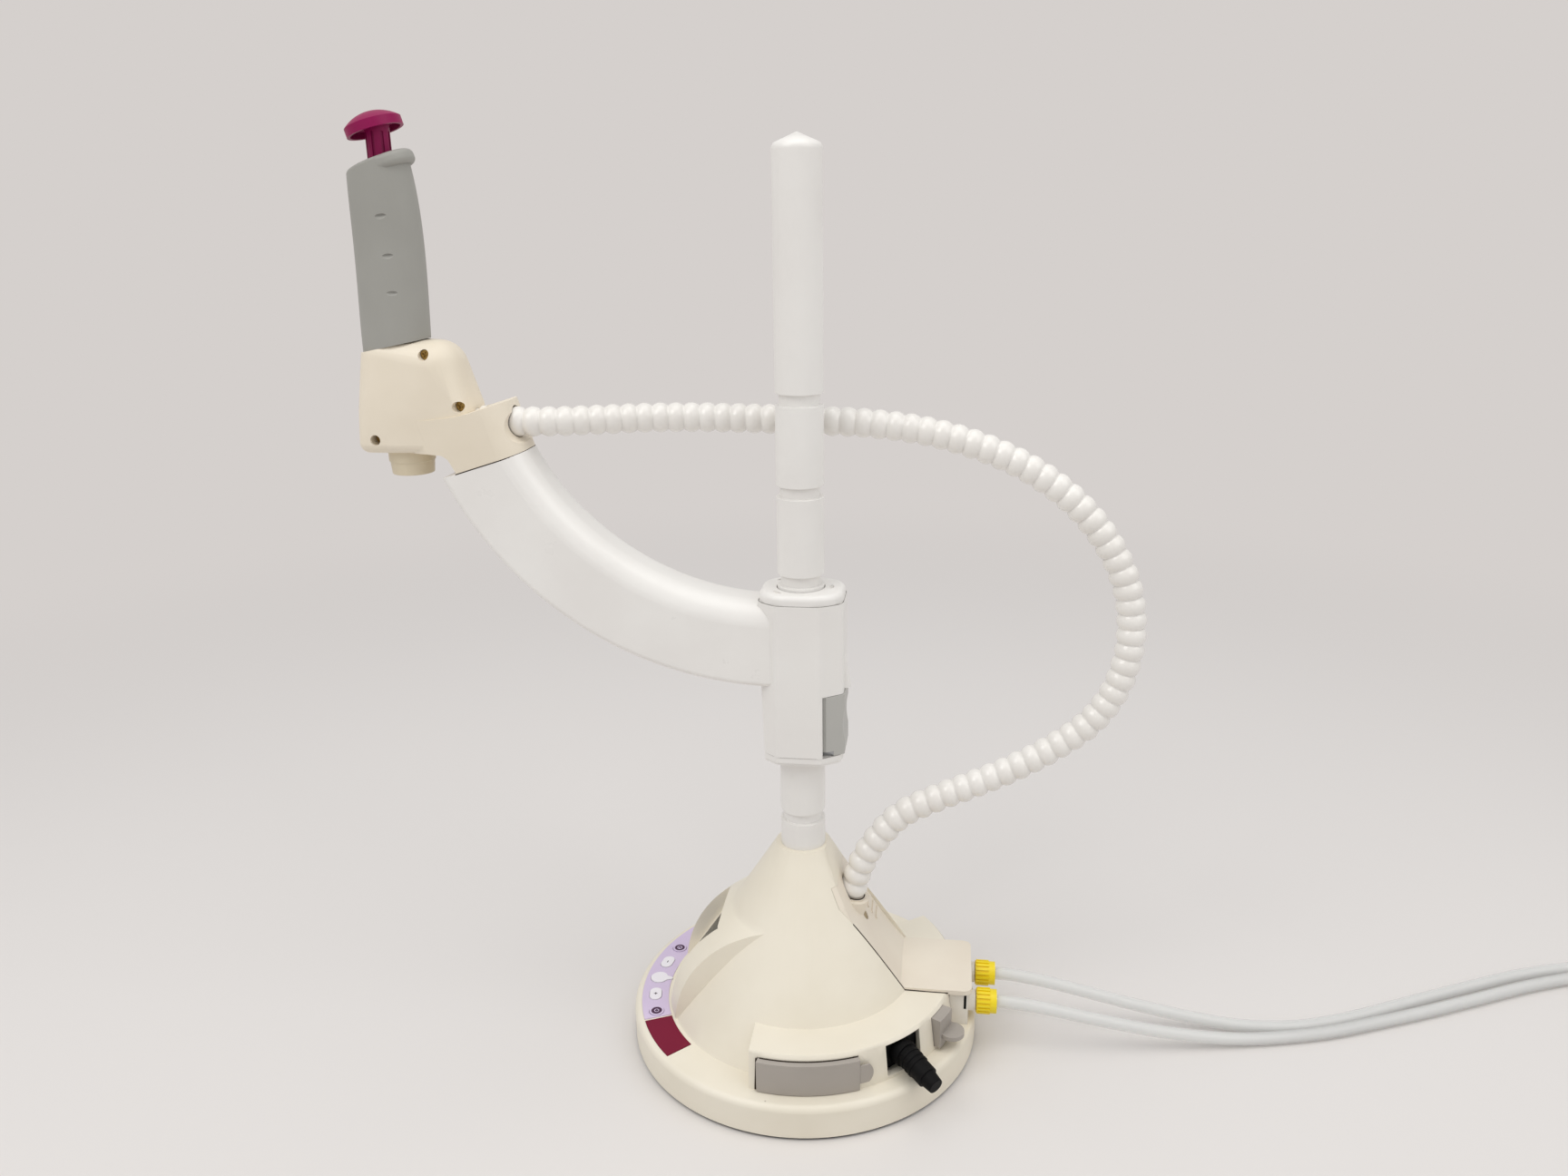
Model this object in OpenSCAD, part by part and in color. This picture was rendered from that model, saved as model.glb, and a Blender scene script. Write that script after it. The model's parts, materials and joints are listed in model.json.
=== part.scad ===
// Bench dispenser of a laboratory water purification system.
// Millimetres. +Z is up, the display faces -X, the water connections leave at +X. Z = 0 is the table.

/* [Base] */
// Diameter of the base
base_d = 220; // [200:1:240]
// Height of the flat rim of the base above the table
rim_z = 22; // [20:0.5:28]
// Rounding of the rim's outer edge
rim_round = 4; // [2:0.5:6]
// Wall thickness of the base shell
wall = 3; // [2.5:0.1:4]
// Thickness of the foot pad
pad_t = 2; // [1:0.1:3]
// Thickness of the steel base plate
plate_t = 8; // [7:0.5:9]
// Width of the flat rim round the cone
rim_w = 24; // [23:0.5:28]
// Diameter of the cone at its top
cone_top_d = 34; // [33:0.5:40]
// Height of the cone's top above the table
cone_top = 131; // [126:1:133]

/* [Display] */
// Half width of the domed display housing
pod_half_w = 40; // [36:1:44]
// How far the display housing's foot stays inside the printed strip
pod_inset = 1.4; // [1:0.1:3]
// Half width of the display recess
recess_half_w = 25; // [24:0.5:30]
// Height of the recess foot
recess_z = 25; // [24:0.5:27]
// Slope of the display from level
screen_slope = 56; // [54:0.5:58]
// Height of the display window along its slope
window_h = 40; // [34:0.5:42]
// Width of the display window
window_w = 44; // [36:0.5:47]

/* [Keypad] */
// Distance of the printed strip from the edge of the base
label_edge = 4.5; // [4:0.1:6]
// Width of the printed strip
label_w = 17; // [15:0.1:17.4]
// Thickness of the printed strip
label_t = 0.6; // [0.4:0.1:0.8]
// Distance of the keys from the edge of the base
key_edge = 13; // [12:0.1:14]
// Angle from key to key
key_step = 10.3; // [9.5:0.1:11]
// Radius of a round key
key_r = 4.6; // [4:0.1:5]
// Travel of a key
key_travel = 0.5; // [0.3:0.05:0.5]

/* [Port ring] */
// Distance of the raised port ring from the edge of the base
ring_edge = 11.5; // [10:0.1:13]
// Height of the port ring's top above the table
ring_top = 45.5; // [44.5:0.1:46.5]
// Where the port ring starts in front of the post
ring_start = 21.5; // [15:0.5:24]
// Angle at which the port ring ends behind the post
ring_end_az = 37; // [34:0.5:42]
// Radius of the plug's body
plug_r = 6.5; // [5:0.1:6.8]
// How far the plug stands out of the ring
plug_out = 25.5; // [18:0.5:28]

/* [Rear cover] */
// Half width of the rear cover
rear_half_w = 27; // [26:0.1:28]
// Radius of the rear cover's hollow curve
rear_r = 270; // [262:1:278]
// Thickness of the rear cover
rear_t = 3; // [2.4:0.1:3.5]
// Distance of the lid's end from the edge of the base
lid_edge = 3.5; // [2:0.1:4.5]
// Radius of the tube nuts
nut_r = 8; // [7.2:0.1:9]
// Length of the tube nuts
nut_len = 12.6; // [11:0.1:14]
// Distance of each tube nut from the middle
nut_y = 14.5; // [13.5:0.1:15.5]
// Height of the tube nuts above the table
nut_z = 33; // [32:0.1:34]

/* [Post] */
// Diameter of the post
post_d = 27.5; // [26.5:0.1:28]
// Height of the post's tip above the table
post_top = 545; // [520:1:570]
// Height of the post's pointed tip
tip_h = 9; // [5:0.5:12]
// Diameter at the bottom of the grooves
groove_d = 23.2; // [22:0.1:25]
// Height of a groove
groove_h = 6.5; // [5:0.1:7]
// Distance from groove to groove
groove_pitch = 52; // [50:0.5:54]
// Height of the lowest groove's middle
groove_z = 146; // [144:0.5:148]
// How far the groove over the cone stands above the even steps
groove_shift = 5; // [0:0.5:6]

/* [Carriage] */
// Half depth of the sleeve behind the post
sleeve_back = 26; // [25:0.1:27]
// Half depth of the sleeve in front of the post
sleeve_front = 24; // [23.5:0.1:26]
// How much the sleeve's front draws in towards its foot
sleeve_taper = 3; // [1:0.1:3.2]
// Half width of the sleeve
sleeve_half_w = 22; // [21.5:0.1:24]
// Height of the sleeve's top ring above its bottom
sleeve_h = 105.5; // [102:0.5:110]
// Radial wall of the slide bush
bush_t = 2.4; // [2:0.1:2.8]
// Gap between parts that move on each other
slide_gap = 0.3; // [0.2:0.05:0.35]
// Travel of the release button
button_travel = 1.6; // [1.2:0.1:1.8]
// Height of the release button
button_h = 38; // [34:0.5:46]

/* [Arm] */
// Radius of the arm's curve
arm_r = 185; // [180:1:190]
// Half depth of the arm
arm_half_d = 25; // [23:0.5:26]
// Half width of the arm
arm_half_w = 20; // [18.5:0.1:21]
// Rounding of the arm's upper corners
arm_round = 14; // [10:0.5:16]
// Rounding of the arm's lower corners
arm_edge = 4; // [2:0.5:8]
// Turn of the arm from level to its seat
arm_turn = 64; // [61:0.5:66]
// Tilt of the seat that carries the gun
seat_tilt = 17.4; // [15:0.1:20]
// Radius of the locating peg on the seat
peg_r = 7; // [5:0.1:8]

/* [Gun] */
// Distance of the nozzle's axis in front of the seat
gun_reach = 49; // [48:0.5:52]
// Radius of the nozzle skirt
nozzle_r = 13.3; // [12.6:0.1:13.8]
// How far the nozzle reaches below the seat
nozzle_low = 7.5; // [5:0.1:10]
// Bore of the nozzle
outlet_d = 13; // [12.2:0.1:13.4]
// Top of the grip above the seat
grip_top = 168; // [160:0.5:176]
// Outer radius of the grip's core tube
core_r = 10.8; // [10.2:0.1:11]
// Outer radius of the valve body
valve_r = 9; // [8.6:0.1:9.4]
// Radius of the plunger's stem
stem_r = 6.6; // [6:0.1:6.8]
// Radius of the plunger's thumb disc
thumb_r = 15.6; // [14:0.1:17]
// Travel of the plunger
plunger_travel = 8; // [6:0.1:8.5]

/* [Hose and tubes] */
// Outer radius of the hose ribs
hose_r = 8.7; // [8:0.1:9]
// Radius between the hose ribs
hose_root = 6.9; // [6.5:0.1:7.2]
// Bore radius of the hose
hose_bore = 4.6; // [4.2:0.1:4.8]
// Ribs on the hose
hose_ribs = 74; // [60:1:80]
// Diameter of the water tubes
tube_d = 8; // [7:0.1:8.2]
// Distance from tube to tube in the coil
coil_step = 8.8; // [8.8:0.1:9.4]

/* [Hidden] */
$fn = 96;
far = 400;
tiny = 0.05;
fit = 0.15;
base_r = base_d / 2;
cone_foot = base_r - rim_w;
cone_head = cone_top_d / 2;
cone_slope = (cone_foot - cone_head) / (cone_top - rim_z);
plate_top = pad_t + plate_t;
cavity_r = base_r - wall - 1;
solid_z = 96;
post_r = post_d / 2;
label_out = base_r - label_edge;
label_in = label_out - label_w;
key_ring = base_r - key_edge;
pod_c = [7.5, 17];
pod_dome_r = norm([label_in - pod_inset - pod_c[0], rim_z - pod_c[1]]);
ring_r = base_r - ring_edge;
ring_head = ring_r - 2.8;
lid_x = base_r - lid_edge;
lid_z = ring_top - 0.9;
cover_top = 111;
screen_foot = 4 - cone_foot;

// the rear cover's curve runs from its head to its foot
rear_head = [22.9, cover_top];
rear_foot = [cone_foot - 20.5, lid_z];
rear_span = rear_foot - rear_head;
rear_c = (rear_head + rear_foot) / 2
    + [-rear_span[1], rear_span[0]] / norm(rear_span) * sqrt(pow(rear_r, 2) - pow(norm(rear_span) / 2, 2));
block_x = base_r - 26;
cover_screw = [80.5, 0];
port_r = ring_r - 23.5;
label_az = [135, 204];
plain_az = [205, 225];
key_az = [for (i = [-2:2]) 180 + i * key_step];
wide_az = [-99.6, -64.8];
port_az = -46.2;
small_az = [-30.8, -22];
cover_z = [rim_z + 0.5, ring_top - 3];
base_screw_az = [48, 122, 238, 312];
base_screw_r = base_r - 15;

// the carriage rests with its latch at the second groove from below
latch_z = groove_z + groove_pitch;
sleeve_low = latch_z - 6.5;
ring_high = sleeve_low + 5.5;
cap_low = sleeve_low + sleeve_h - 6;
sleeve_high = sleeve_low + sleeve_h;
bush_in = post_r + slide_gap;
bush_out = bush_in + bush_t;
bore_in = bush_out + slide_gap;
plate_low = ring_high + slide_gap;
latch_t = 2.8;
bush_low = plate_low + latch_t + 1.2;
button_low = ring_high + slide_gap;
button_high = button_low + button_h;
oct_x = 13;
oct_y = 13;
button_x = oct_x + 1.4;
plate_front = -16.2;
spring_front = plate_front - 2.8;

// the arm's curve and the seat at its end
arm_c = [-15, sleeve_high - 32 + arm_r];
seat_x = arm_c[0] - arm_r * sin(arm_turn);
seat_z = arm_c[1] - arm_r * cos(arm_turn);
gun_x = seat_x - gun_reach;
grip_low = 67;
grip_slope = 19;
joint_slope = 11;
nozzle_top = 10;
valve_low = 12;
valve_high = 38;
inlet_z = 23.1;
cuff_reach = 62.28;
partition = 111;
stem_low = grip_top - 12;
spring_coils = 6;
// the wing's side view: its ledge, then its foot from the head down to the seat
wing_side = [[-25, 26.2], [12, 26.1], [20.2, 26.4], [28.4, 27.2], [36.5, 28.3], [44.7, 30.2], [51.9, 32.5],
    [61.2, 35.4], [65.6, 36.3], [67.2, 33], [90, 33], [90, -20], [36, -20], [34.4, -3.6], [32.1, 0.7],
    [30.3, 3.9], [26.7, 6.2], [18, 6.9], [-25, 7]];
head_screws_at = [[20.2, 62.4], [38.2, 33.6], [-12, 14.7]];

// hose route, from the gland in the rear cover to the cuff in the gun
hose_start = [30.5, 0, 96];
hose_lean = 15.5;
hose_plan = [[30.5, 0, 96], [35.5, 0, 114], [44, 1, 131], [60, 3, 150], [82, 5, 162], [104, 7, 171.5],
    [128, 9, 183], [150, 11, 196], [170, 12, 212], [183, 13, 231], [190, 14, 253], [191, 15, 275],
    [187, 16, 297], [178, 18, 317], [165, 20, 335], [148, 22, 351], [126, 24, 365], [100, 25, 376],
    [70, 26, 384], [38, 27, 388], [5, 27, 389.5], [-28, 26, 390.5], [-60, 23, 391.5], [-90, 17, 392],
    [-116, 9, 392], [-138, 2, 392], [-152, 0, 392], [-168, 0, 392]];
hose_end = [gun_x + cuff_reach, 0, seat_z + inlet_z];
hose_route = [for (i = [0:27]) hose_plan[i] + step_up((i - 11) / 13) * (hose_end - hose_plan[27])];

// tube routes on the table, and the centre and start of their coil
feed_plan = [[116, 14.5, 33], [132, 14.5, 33], [155, 14.5, 29.5], [180, 14.6, 24], [215, 15.5, 15.5],
    [250, 16.5, 8.5], [280, 17, 5], [310, 20.5, 4.2], [335, 28, 4.2], [360, 38.5, 4.2], [400, 58, 4.2],
    [440, 77, 4.2], [480, 95, 4.2], [520, 107.5, 4.2], [555, 112.3, 4.8], [585, 113, 5.2]];
return_plan = [[116, -14.5, 33], [132, -14.5, 33], [155, -13.6, 29.5], [180, -12, 24], [215, -7.5, 15.5],
    [250, -1.8, 8.5], [280, 4, 5], [310, 11, 4.2], [335, 18.5, 4.2], [360, 28.5, 4.2], [400, 45.5, 4.2],
    [440, 64, 4.2], [480, 82.5, 4.2], [520, 97, 4.2], [555, 103.2, 4.8], [585, 104.2, 5.2]];
tube_start = base_r + 6 - feed_plan[0][0];
feed_route = [for (i = [0:15]) feed_plan[i] + [1 - step_up((i - 1) / 9), 0, 0] * tube_start];
return_route = [for (i = [0:15]) return_plan[i] + [1 - step_up((i - 1) / 9), 0, 0] * tube_start];
coil_c = [585, 50];
coil_turns = 1.2;
coil_in = 63 - 2 * 8.8 * coil_turns;
coil_z = 5.2;
tie_turn = 0.6;

function cone_r(z) = cone_foot - cone_slope * (z - rim_z);

// a smooth curve through route points, its running length, and a point at a length
function bend(p, i, t) = let(a = p[max(i - 1, 0)], b = p[i], c = p[i + 1], d = p[min(i + 2, len(p) - 1)])
    0.5 * (2 * b + (c - a) * t + (2 * a - 5 * b + 4 * c - d) * t * t + (3 * b - a - 3 * c + d) * t * t * t);
function smooth(p, n) = concat([for (i = [0:len(p) - 2], k = [0:n - 1]) bend(p, i, k / n)], [p[len(p) - 1]]);
function run(p) = [for (i = 0, s = 0; i < len(p); s = s + (i + 1 < len(p) ? norm(p[i + 1] - p[i]) : 0), i = i + 1) s];
function table(p) = let(c = run(p)) [for (k = [0:2]) [for (i = [0:len(p) - 1]) [c[i], p[i][k]]]];
function at(tab, s) = [lookup(s, tab[0]), lookup(s, tab[1]), lookup(s, tab[2])];
function total(p) = let(c = run(p)) c[len(c) - 1];
function evenly(p, n) = let(tab = table(p), l = total(p)) [for (i = [0:n]) at(tab, l * i / n)];

// rings square to a curve, and the faces between them
function unit(v) = v / norm(v);
function ahead(p) = [for (i = [0:len(p) - 1]) unit(p[min(i + 1, len(p) - 1)] - p[max(i - 1, 0)])];
function square_to(u, t) = unit(u - (u * t) * t);
function across(t) = [for (i = 0, u = square_to([0.1, 1, 0.2], t[0]); i < len(t);
    u = square_to(u, t[min(i + 1, len(t) - 1)]), i = i + 1) u];
function rings(p, r, n) = let(t = ahead(p), u = across(t)) [for (i = [0:len(p) - 1], k = [0:n - 1])
    p[i] + r[i] * (cos(360 * k / n) * u[i] + sin(360 * k / n) * cross(t[i], u[i]))];
function skin(m, n, o) = [for (i = [0:m - 2], k = [0:n - 1]) let(a = o + i * n + k, b = o + i * n + (k + 1) % n)
    [a, a + n, b + n, b]];
function inside_out(f) = [for (q = f) [q[3], q[2], q[1], q[0]]];
function rim(n, a, b) = [for (k = [0:n - 1]) [a + k, a + (k + 1) % n, b + (k + 1) % n, b + k]];
function least(p, q, skip) = min([for (i = [0:len(p) - 1], j = [0:len(q) - 1])
    if (skip == 0 || abs(i - j) > skip) norm(p[i] - q[j])]);

module solid_tube(p, r, n) {
    m = len(p);
    caps = [[for (k = [0:n - 1]) k], [for (k = [n - 1:-1:0]) (m - 1) * n + k]];
    polyhedron(points = rings(p, [for (i = [0:m - 1]) r], n), faces = concat(skin(m, n, 0), caps));
}

// an open tube: outer rings on p, bore rings on q, both from end to end
module open_tube(p, r, q, b, n) {
    o = len(p) * n;
    ends = concat(rim(n, 0, o), inside_out(rim(n, o - n, o + (len(q) - 1) * n)));
    polyhedron(points = concat(rings(p, r, n), rings(q, [for (i = [0:len(q) - 1]) b], n)),
        faces = concat(skin(len(p), n, 0), inside_out(skin(len(q), n, o)), ends));
}

module polar(az, r, z) {
    rotate([0, 0, az]) translate([r, 0, z]) children();
}

// a plan wedge between two angles
module wedge(a, b) {
    polygon([[0, 0], far * [cos(a), sin(a)], far * 1.3 * [cos((a + b) / 2), sin((a + b) / 2)],
        far * [cos(b), sin(b)]]);
}

// an arc of a ring between two angles
module arc_block(r_in, r_out, z0, z1, az) {
    intersection() {
        translate([0, 0, z0]) difference() {
            cylinder(r = r_out, h = z1 - z0);
            translate([0, 0, -1]) cylinder(r = r_in, h = z1 - z0 + 2);
        }
        linear_extrude(far) wedge(az[0], az[1]);
    }
}

// a side view drawn in X and Z, run across in Y
module side(w) {
    rotate([90, 0, 0]) linear_extrude(2 * w, center = true) children();
}

module on_screen(along) {
    translate([screen_foot, 0, recess_z]) rotate([0, -screen_slope, 0]) translate([along, 0, 0]) children();
}

module base_pad() {
    color("#2b2b2b") cylinder(d = base_d - 14, h = pad_t);
}

module base_plate() {
    color("#8a8d90") difference() {
        translate([0, 0, pad_t]) cylinder(r = cavity_r - fit, h = plate_t);
        translate([0, 0, pad_t - 1]) cylinder(r = 8.4, h = 6.2);
        cylinder(r = 5.1, h = far);
        for (a = base_screw_az) polar(a, base_screw_r, 0) {
            cylinder(r = 2.2, h = 30);
            translate([0, 0, pad_t - 1]) cylinder(r = 4, h = 4);
        }
    }
}

module base_screws() {
    color("#9a9c9e") for (a = base_screw_az) polar(a, base_screw_r, 0) {
        translate([0, 0, pad_t + 0.3]) cylinder(r = 3.7, h = 2.7);
        translate([0, 0, pad_t + 2]) cylinder(r = 1.9, h = plate_t + 4);
    }
}

module base_outline() {
    translate([0, pad_t]) square([base_r, rim_z - pad_t - rim_round]);
    translate([0, pad_t]) square([base_r - rim_round, rim_z - pad_t]);
    translate([base_r - rim_round, rim_z - rim_round]) circle(rim_round);
    polygon([[0, rim_z - 1], [cone_foot, rim_z - 1], [cone_foot, rim_z], [cone_head, cone_top], [0, cone_top]]);
}

module ring_plan(inset) {
    polygon([[-ring_start + inset, 0], [-ring_start + inset, -far], [far, -far],
        [far, (far - inset * 1.7) * tan(ring_end_az)], [inset * 1.7, 0]]);
}

module shell_body() {
    rotate_extrude() base_outline();
    intersection() {
        rotate_extrude() intersection() {
            translate(pod_c) circle(pod_dome_r);
            translate([0, rim_z - 1]) square([far, far]);
        }
        translate([-far, -pod_half_w, 0]) cube([far, 2 * pod_half_w, far]);
    }
    intersection() {
        rotate_extrude() polygon([[0, rim_z - 1], [ring_r, rim_z - 1], [ring_r, rim_z], [ring_head, ring_top - 1.5],
            [ring_head - 1.5, ring_top], [0, ring_top]]);
        linear_extrude(far) ring_plan(0);
    }
}

module shell_cavity() {
    difference() {
        union() {
            rotate_extrude() polygon([[0, -1], [cavity_r, -1], [cavity_r, rim_z - wall], [cone_foot - 5, rim_z - wall],
                [cone_r(solid_z) - 5, solid_z], [0, solid_z]]);
            intersection() {
                rotate_extrude() polygon([[cone_foot - 20, rim_z], [ring_r - wall - 1, rim_z],
                    [ring_head - wall, ring_top - wall], [cone_foot - 20, ring_top - wall]]);
                linear_extrude(far) ring_plan(wall);
            }
        }
        intersection() {
            on_screen(-20) translate([0, -far / 2, -3]) cube([far, far, far]);
            translate([-far, -far, rim_z - wall]) cube([2 * far, 2 * far, far]);
        }
    }
}

module rear_hollow(r) {
    translate(rear_c) circle(r, $fn = 180);
}

module base_shell() {
    color("#ebe4d4") {
        difference() {
            shell_body();
            shell_cavity();
            translate([0, 0, solid_z - 1]) cylinder(r = post_r + tiny, h = far);
            // display recess with its window and module
            side(recess_half_w) polygon([[screen_foot, recess_z], [screen_foot - 20, recess_z], [screen_foot - 20, 100],
                [screen_foot + 62 * cos(screen_slope), 100],
                [screen_foot + 54 * cos(screen_slope), recess_z + 66 * sin(screen_slope)],
                [screen_foot + 63 * cos(screen_slope), recess_z + 63 * sin(screen_slope)]]);
            on_screen(34) translate([0, 0, -2 - fit])
                cube([window_h + 2 * fit, window_w + 2 * fit, 8], center = true);
            on_screen(34) cube([window_h + 2 * fit, window_w + 2 * fit, 4 + 2 * tiny], center = true);
            // keypad strip and keys
            arc_block(label_in - fit, label_out + fit, rim_z - 0.3, far, [label_az[0] - 0.2, plain_az[1] + 0.2]);
            for (i = [0:4]) polar(key_az[i], key_ring, rim_z - 6) key_plan(i, slide_gap, 20);
            // ports
            arc_block(ring_head - 5.7, far, cover_z[0] + 3, cover_z[1] - 3, [wide_az[0] + 4, wide_az[1] - 4]);
            arc_block(ring_head - 1.2, far, cover_z[0] - slide_gap, cover_z[1] + slide_gap,
                [wide_az[0] - 0.25, wide_az[1] + 0.25]);
            polar(port_az, port_r, rim_z + 2) translate([0, -13, 0]) cube([60, 26, 19.5]);
            arc_block(ring_head - 1.2, far, rim_z + 2.2, ring_top - 1.8, [small_az[0] - 0.25, small_az[1] + 0.25]);
            polar((small_az[0] + small_az[1]) / 2, ring_r - 18.5, rim_z + 8) translate([0, -4, 0]) cube([60, 8, 8]);
            // rear cover, lid and connectors
            side(rear_half_w + fit) intersection() {
                rear_hollow(rear_r + rear_t + fit);
                translate([0, lid_z - fit]) square([120, cover_top - lid_z + 2 * fit]);
            }
            side(far) intersection() {
                rear_hollow(rear_r);
                translate([0, cover_top]) square([120, 60]);
            }
            translate([cone_foot - 28, -rear_half_w - fit, lid_z - fit]) cube([far, 2 * (rear_half_w + fit), far]);
            translate([block_x - 0.4, -25, rim_z]) cube([far, 50, 40]);
            hose_axis() translate([0, 0, -40]) cylinder(r = hose_r + 0.6 + fit, h = 60);
        }
        for (a = base_screw_az) polar(a, base_screw_r, 0) difference() {
            translate([0, 0, plate_top]) cylinder(r = 5, h = rim_z - wall - plate_top + 0.5);
            cylinder(r = 1.95, h = pad_t + plate_t + 6.5);
        }
        for (a = [147, 213]) polar(a, key_ring, rim_z - 5.2) cylinder(r = 2.5, h = 5.2 - wall + 0.5);
    }
}

module key_plan(i, gap, h) {
    linear_extrude(h) {
        if (i == 2) {
            circle(key_r + 1 + gap);
            polygon([[0, -key_r - gap], [0, key_r + gap], [-9 - gap, 0.6 + gap], [-9 - gap, -0.6 - gap]]);
        } else if (i == 1 || i == 3) {
            for (s = [-1, 1]) translate([0, s * 2.2]) circle(key_r - 0.8 + gap);
            square([2 * (key_r - 0.8 + gap), 4.4], center = true);
        } else {
            circle(key_r + gap);
        }
    }
}

module key(i) {
    color("#c9b3da") polar(key_az[i], key_ring, rim_z - wall) key_plan(i, 0, wall + label_t + 0.1);
}

module key_1() {
    key(0);
}

module key_2() {
    key(1);
}

module key_3() {
    key(2);
}

module key_4() {
    key(3);
}

module key_5() {
    key(4);
}

module keypad_label() {
    color("#d5c5e0") difference() {
        arc_block(label_in, label_out, rim_z - 0.3, rim_z - 0.3 + label_t, label_az);
        for (i = [0:4]) polar(key_az[i], key_ring, rim_z - 6) key_plan(i, slide_gap, 20);
    }
}

module plain_label() {
    color("#7d1232") arc_block(label_in, label_out, rim_z - 0.3, rim_z - 0.3 + label_t, plain_az);
}

module key_board() {
    color("#2f6b46") arc_block(key_ring - 7, key_ring + 6.5, rim_z - 6.8, rim_z - 5.2, [144, 216]);
    color("#c8c8c8") for (a = key_az) polar(a, key_ring, rim_z - 5.6)
        cylinder(r = 2.6, h = 5.6 - wall - key_travel - 0.1);
}

module display_window() {
    color("#4a4d4c") on_screen(34) translate([0, 0, -1]) cube([window_h, window_w, 2], center = true);
}

module display_module() {
    color("#20282a") on_screen(34) translate([0, 0, -4]) cube([window_h, window_w, 4], center = true);
}

module control_board() {
    color("#2f6b46") translate([22, -30, plate_top + 5]) cube([cone_foot - 42, 60, 1.6]);
    color("#303030") translate([32, -16, plate_top + 6.6]) cube([18, 18, 3]);
    color("#303030") translate([36, 12, plate_top + 6.6]) cube([14, 12, 8]);
}

module board_standoffs() {
    color("#b9a15a") for (x = [26, cone_foot - 24], y = [-26, 26])
        translate([x, y, plate_top]) cylinder(r = 2.6, h = 5);
}

module wide_port_cover() {
    color("#a0a09c") {
        arc_block(ring_head - 0.9, ring_r + 1.6, cover_z[0], cover_z[1], wide_az);
        arc_block(ring_head - 3.8, ring_head - 0.7, cover_z[0] + 3 + slide_gap, cover_z[1] - 3 - slide_gap,
            [wide_az[0] + 4.3, wide_az[1] - 4.3]);
        intersection() {
            arc_block(ring_r + slide_gap, ring_r + 1.4, cover_z[0] + 4, cover_z[1] - 4,
                [wide_az[1] - 1.2, wide_az[1] + 6]);
            polar(wide_az[1] + 0.3, 90, (cover_z[0] + cover_z[1]) / 2) rotate([0, 90, 0]) cylinder(r = 8, h = 20);
        }
    }
}

module small_port_cover() {
    color("#a0a09c") {
        arc_block(ring_head - 0.9, ring_r + 3.4, rim_z + 2.5, ring_top - 2.1, small_az);
        polar((small_az[0] + small_az[1]) / 2, ring_head - 6, rim_z + 8 + slide_gap)
            translate([0, -4 + slide_gap, 0]) cube([6, 8 - 2 * slide_gap, 8 - 2 * slide_gap]);
        difference() {
            polar((small_az[0] + small_az[1]) / 2 + 0.8, ring_r + 3.4, rim_z + 8.5) cylinder(r = 7, h = 2.8);
            cylinder(r = ring_r - 0.5, h = far);
        }
    }
}

module port_socket() {
    color("#3a3a3a") difference() {
        polar(port_az, port_r + 1, rim_z + 2 + fit) translate([0, -13 + fit, 0])
            cube([16, 26 - 2 * fit, 19.5 - 2 * fit]);
        polar(port_az, port_r - 15, rim_z + 11.7) rotate([0, 90, 0]) cylinder(r = plug_r - 1.4, h = 60);
    }
}

module port_plug() {
    color("#17171a") polar(port_az, 0, rim_z + 11.7) rotate([0, 90, 0]) {
        translate([0, 0, port_r + 5]) cylinder(r = plug_r - 1.7, h = 20);
        translate([0, 0, port_r + 17 + slide_gap]) cylinder(r = plug_r + 1.4, h = ring_r - port_r - 17);
        translate([0, 0, ring_r]) cylinder(r = plug_r, h = plug_out - 7);
        for (i = [0:2]) translate([0, 0, ring_r + 2.5 + 3.2 * i]) cylinder(r = plug_r + 0.6, h = 1.6);
        translate([0, 0, ring_r + plug_out - 7.1]) cylinder(r1 = plug_r - 1, r2 = plug_r - 1.9, h = 7.1);
    }
}

module on_rear(z, y, out) {
    x = rear_c[0] - sqrt(pow(rear_r, 2) - pow(rear_c[1] - z, 2));
    translate([x, y, z]) rotate([0, 90 - asin((rear_c[1] - z) / rear_r), 0]) translate([0, 0, out]) children();
}

module hose_axis() {
    translate(hose_start) rotate([0, hose_lean, 0]) children();
}

module rear_cover() {
    color("#e9e1d6") difference() {
        union() {
            intersection() {
                union() {
                    intersection() {
                        side(rear_half_w) difference() {
                            intersection() {
                                rear_hollow(rear_r + rear_t);
                                translate([0, lid_z]) square([cone_foot - 16, cover_top - lid_z]);
                            }
                            rear_hollow(rear_r);
                        }
                        translate([0, 0, rim_z]) cylinder(r1 = cone_foot, r2 = cone_head, h = cone_top - rim_z);
                    }
                    side(rear_half_w) difference() {
                        translate([cone_foot - 28, lid_z]) square([lid_x - cone_foot + 28, rear_t]);
                        translate([0, lid_z - 1]) difference() {
                            square([cone_foot - 16, 10]);
                            translate(rear_c - [0, lid_z - 1]) circle(rear_r + rear_t, $fn = 180);
                        }
                    }
                }
                linear_extrude(far) {
                    translate([0, -rear_half_w]) square([lid_x - 5, 2 * rear_half_w]);
                    translate([0, 5 - rear_half_w]) square([lid_x, 2 * rear_half_w - 10]);
                    for (s = [-1, 1]) translate([lid_x - 5, s * (rear_half_w - 5)]) circle(5);
                }
            }
            for (z = [71, 75, 79]) on_rear(z, 17.5, 0) translate([-0.7, -7, -0.5]) cube([1.4, 14, 1.4]);
            intersection() {
                hose_axis() translate([0, 0, -26]) cylinder(r = hose_r + 3, h = 25);
                side(far) rear_hollow(rear_r + 1);
            }
        }
        hose_axis() translate([0, 0, -60]) cylinder(r = hose_r + 0.6, h = 80);
        on_rear(cover_screw[0], cover_screw[1], -10) cylinder(r = 1.7, h = 20);
        on_rear(cover_screw[0], cover_screw[1], -1.6) cylinder(r = 3.6, h = 20);
    }
}

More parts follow.
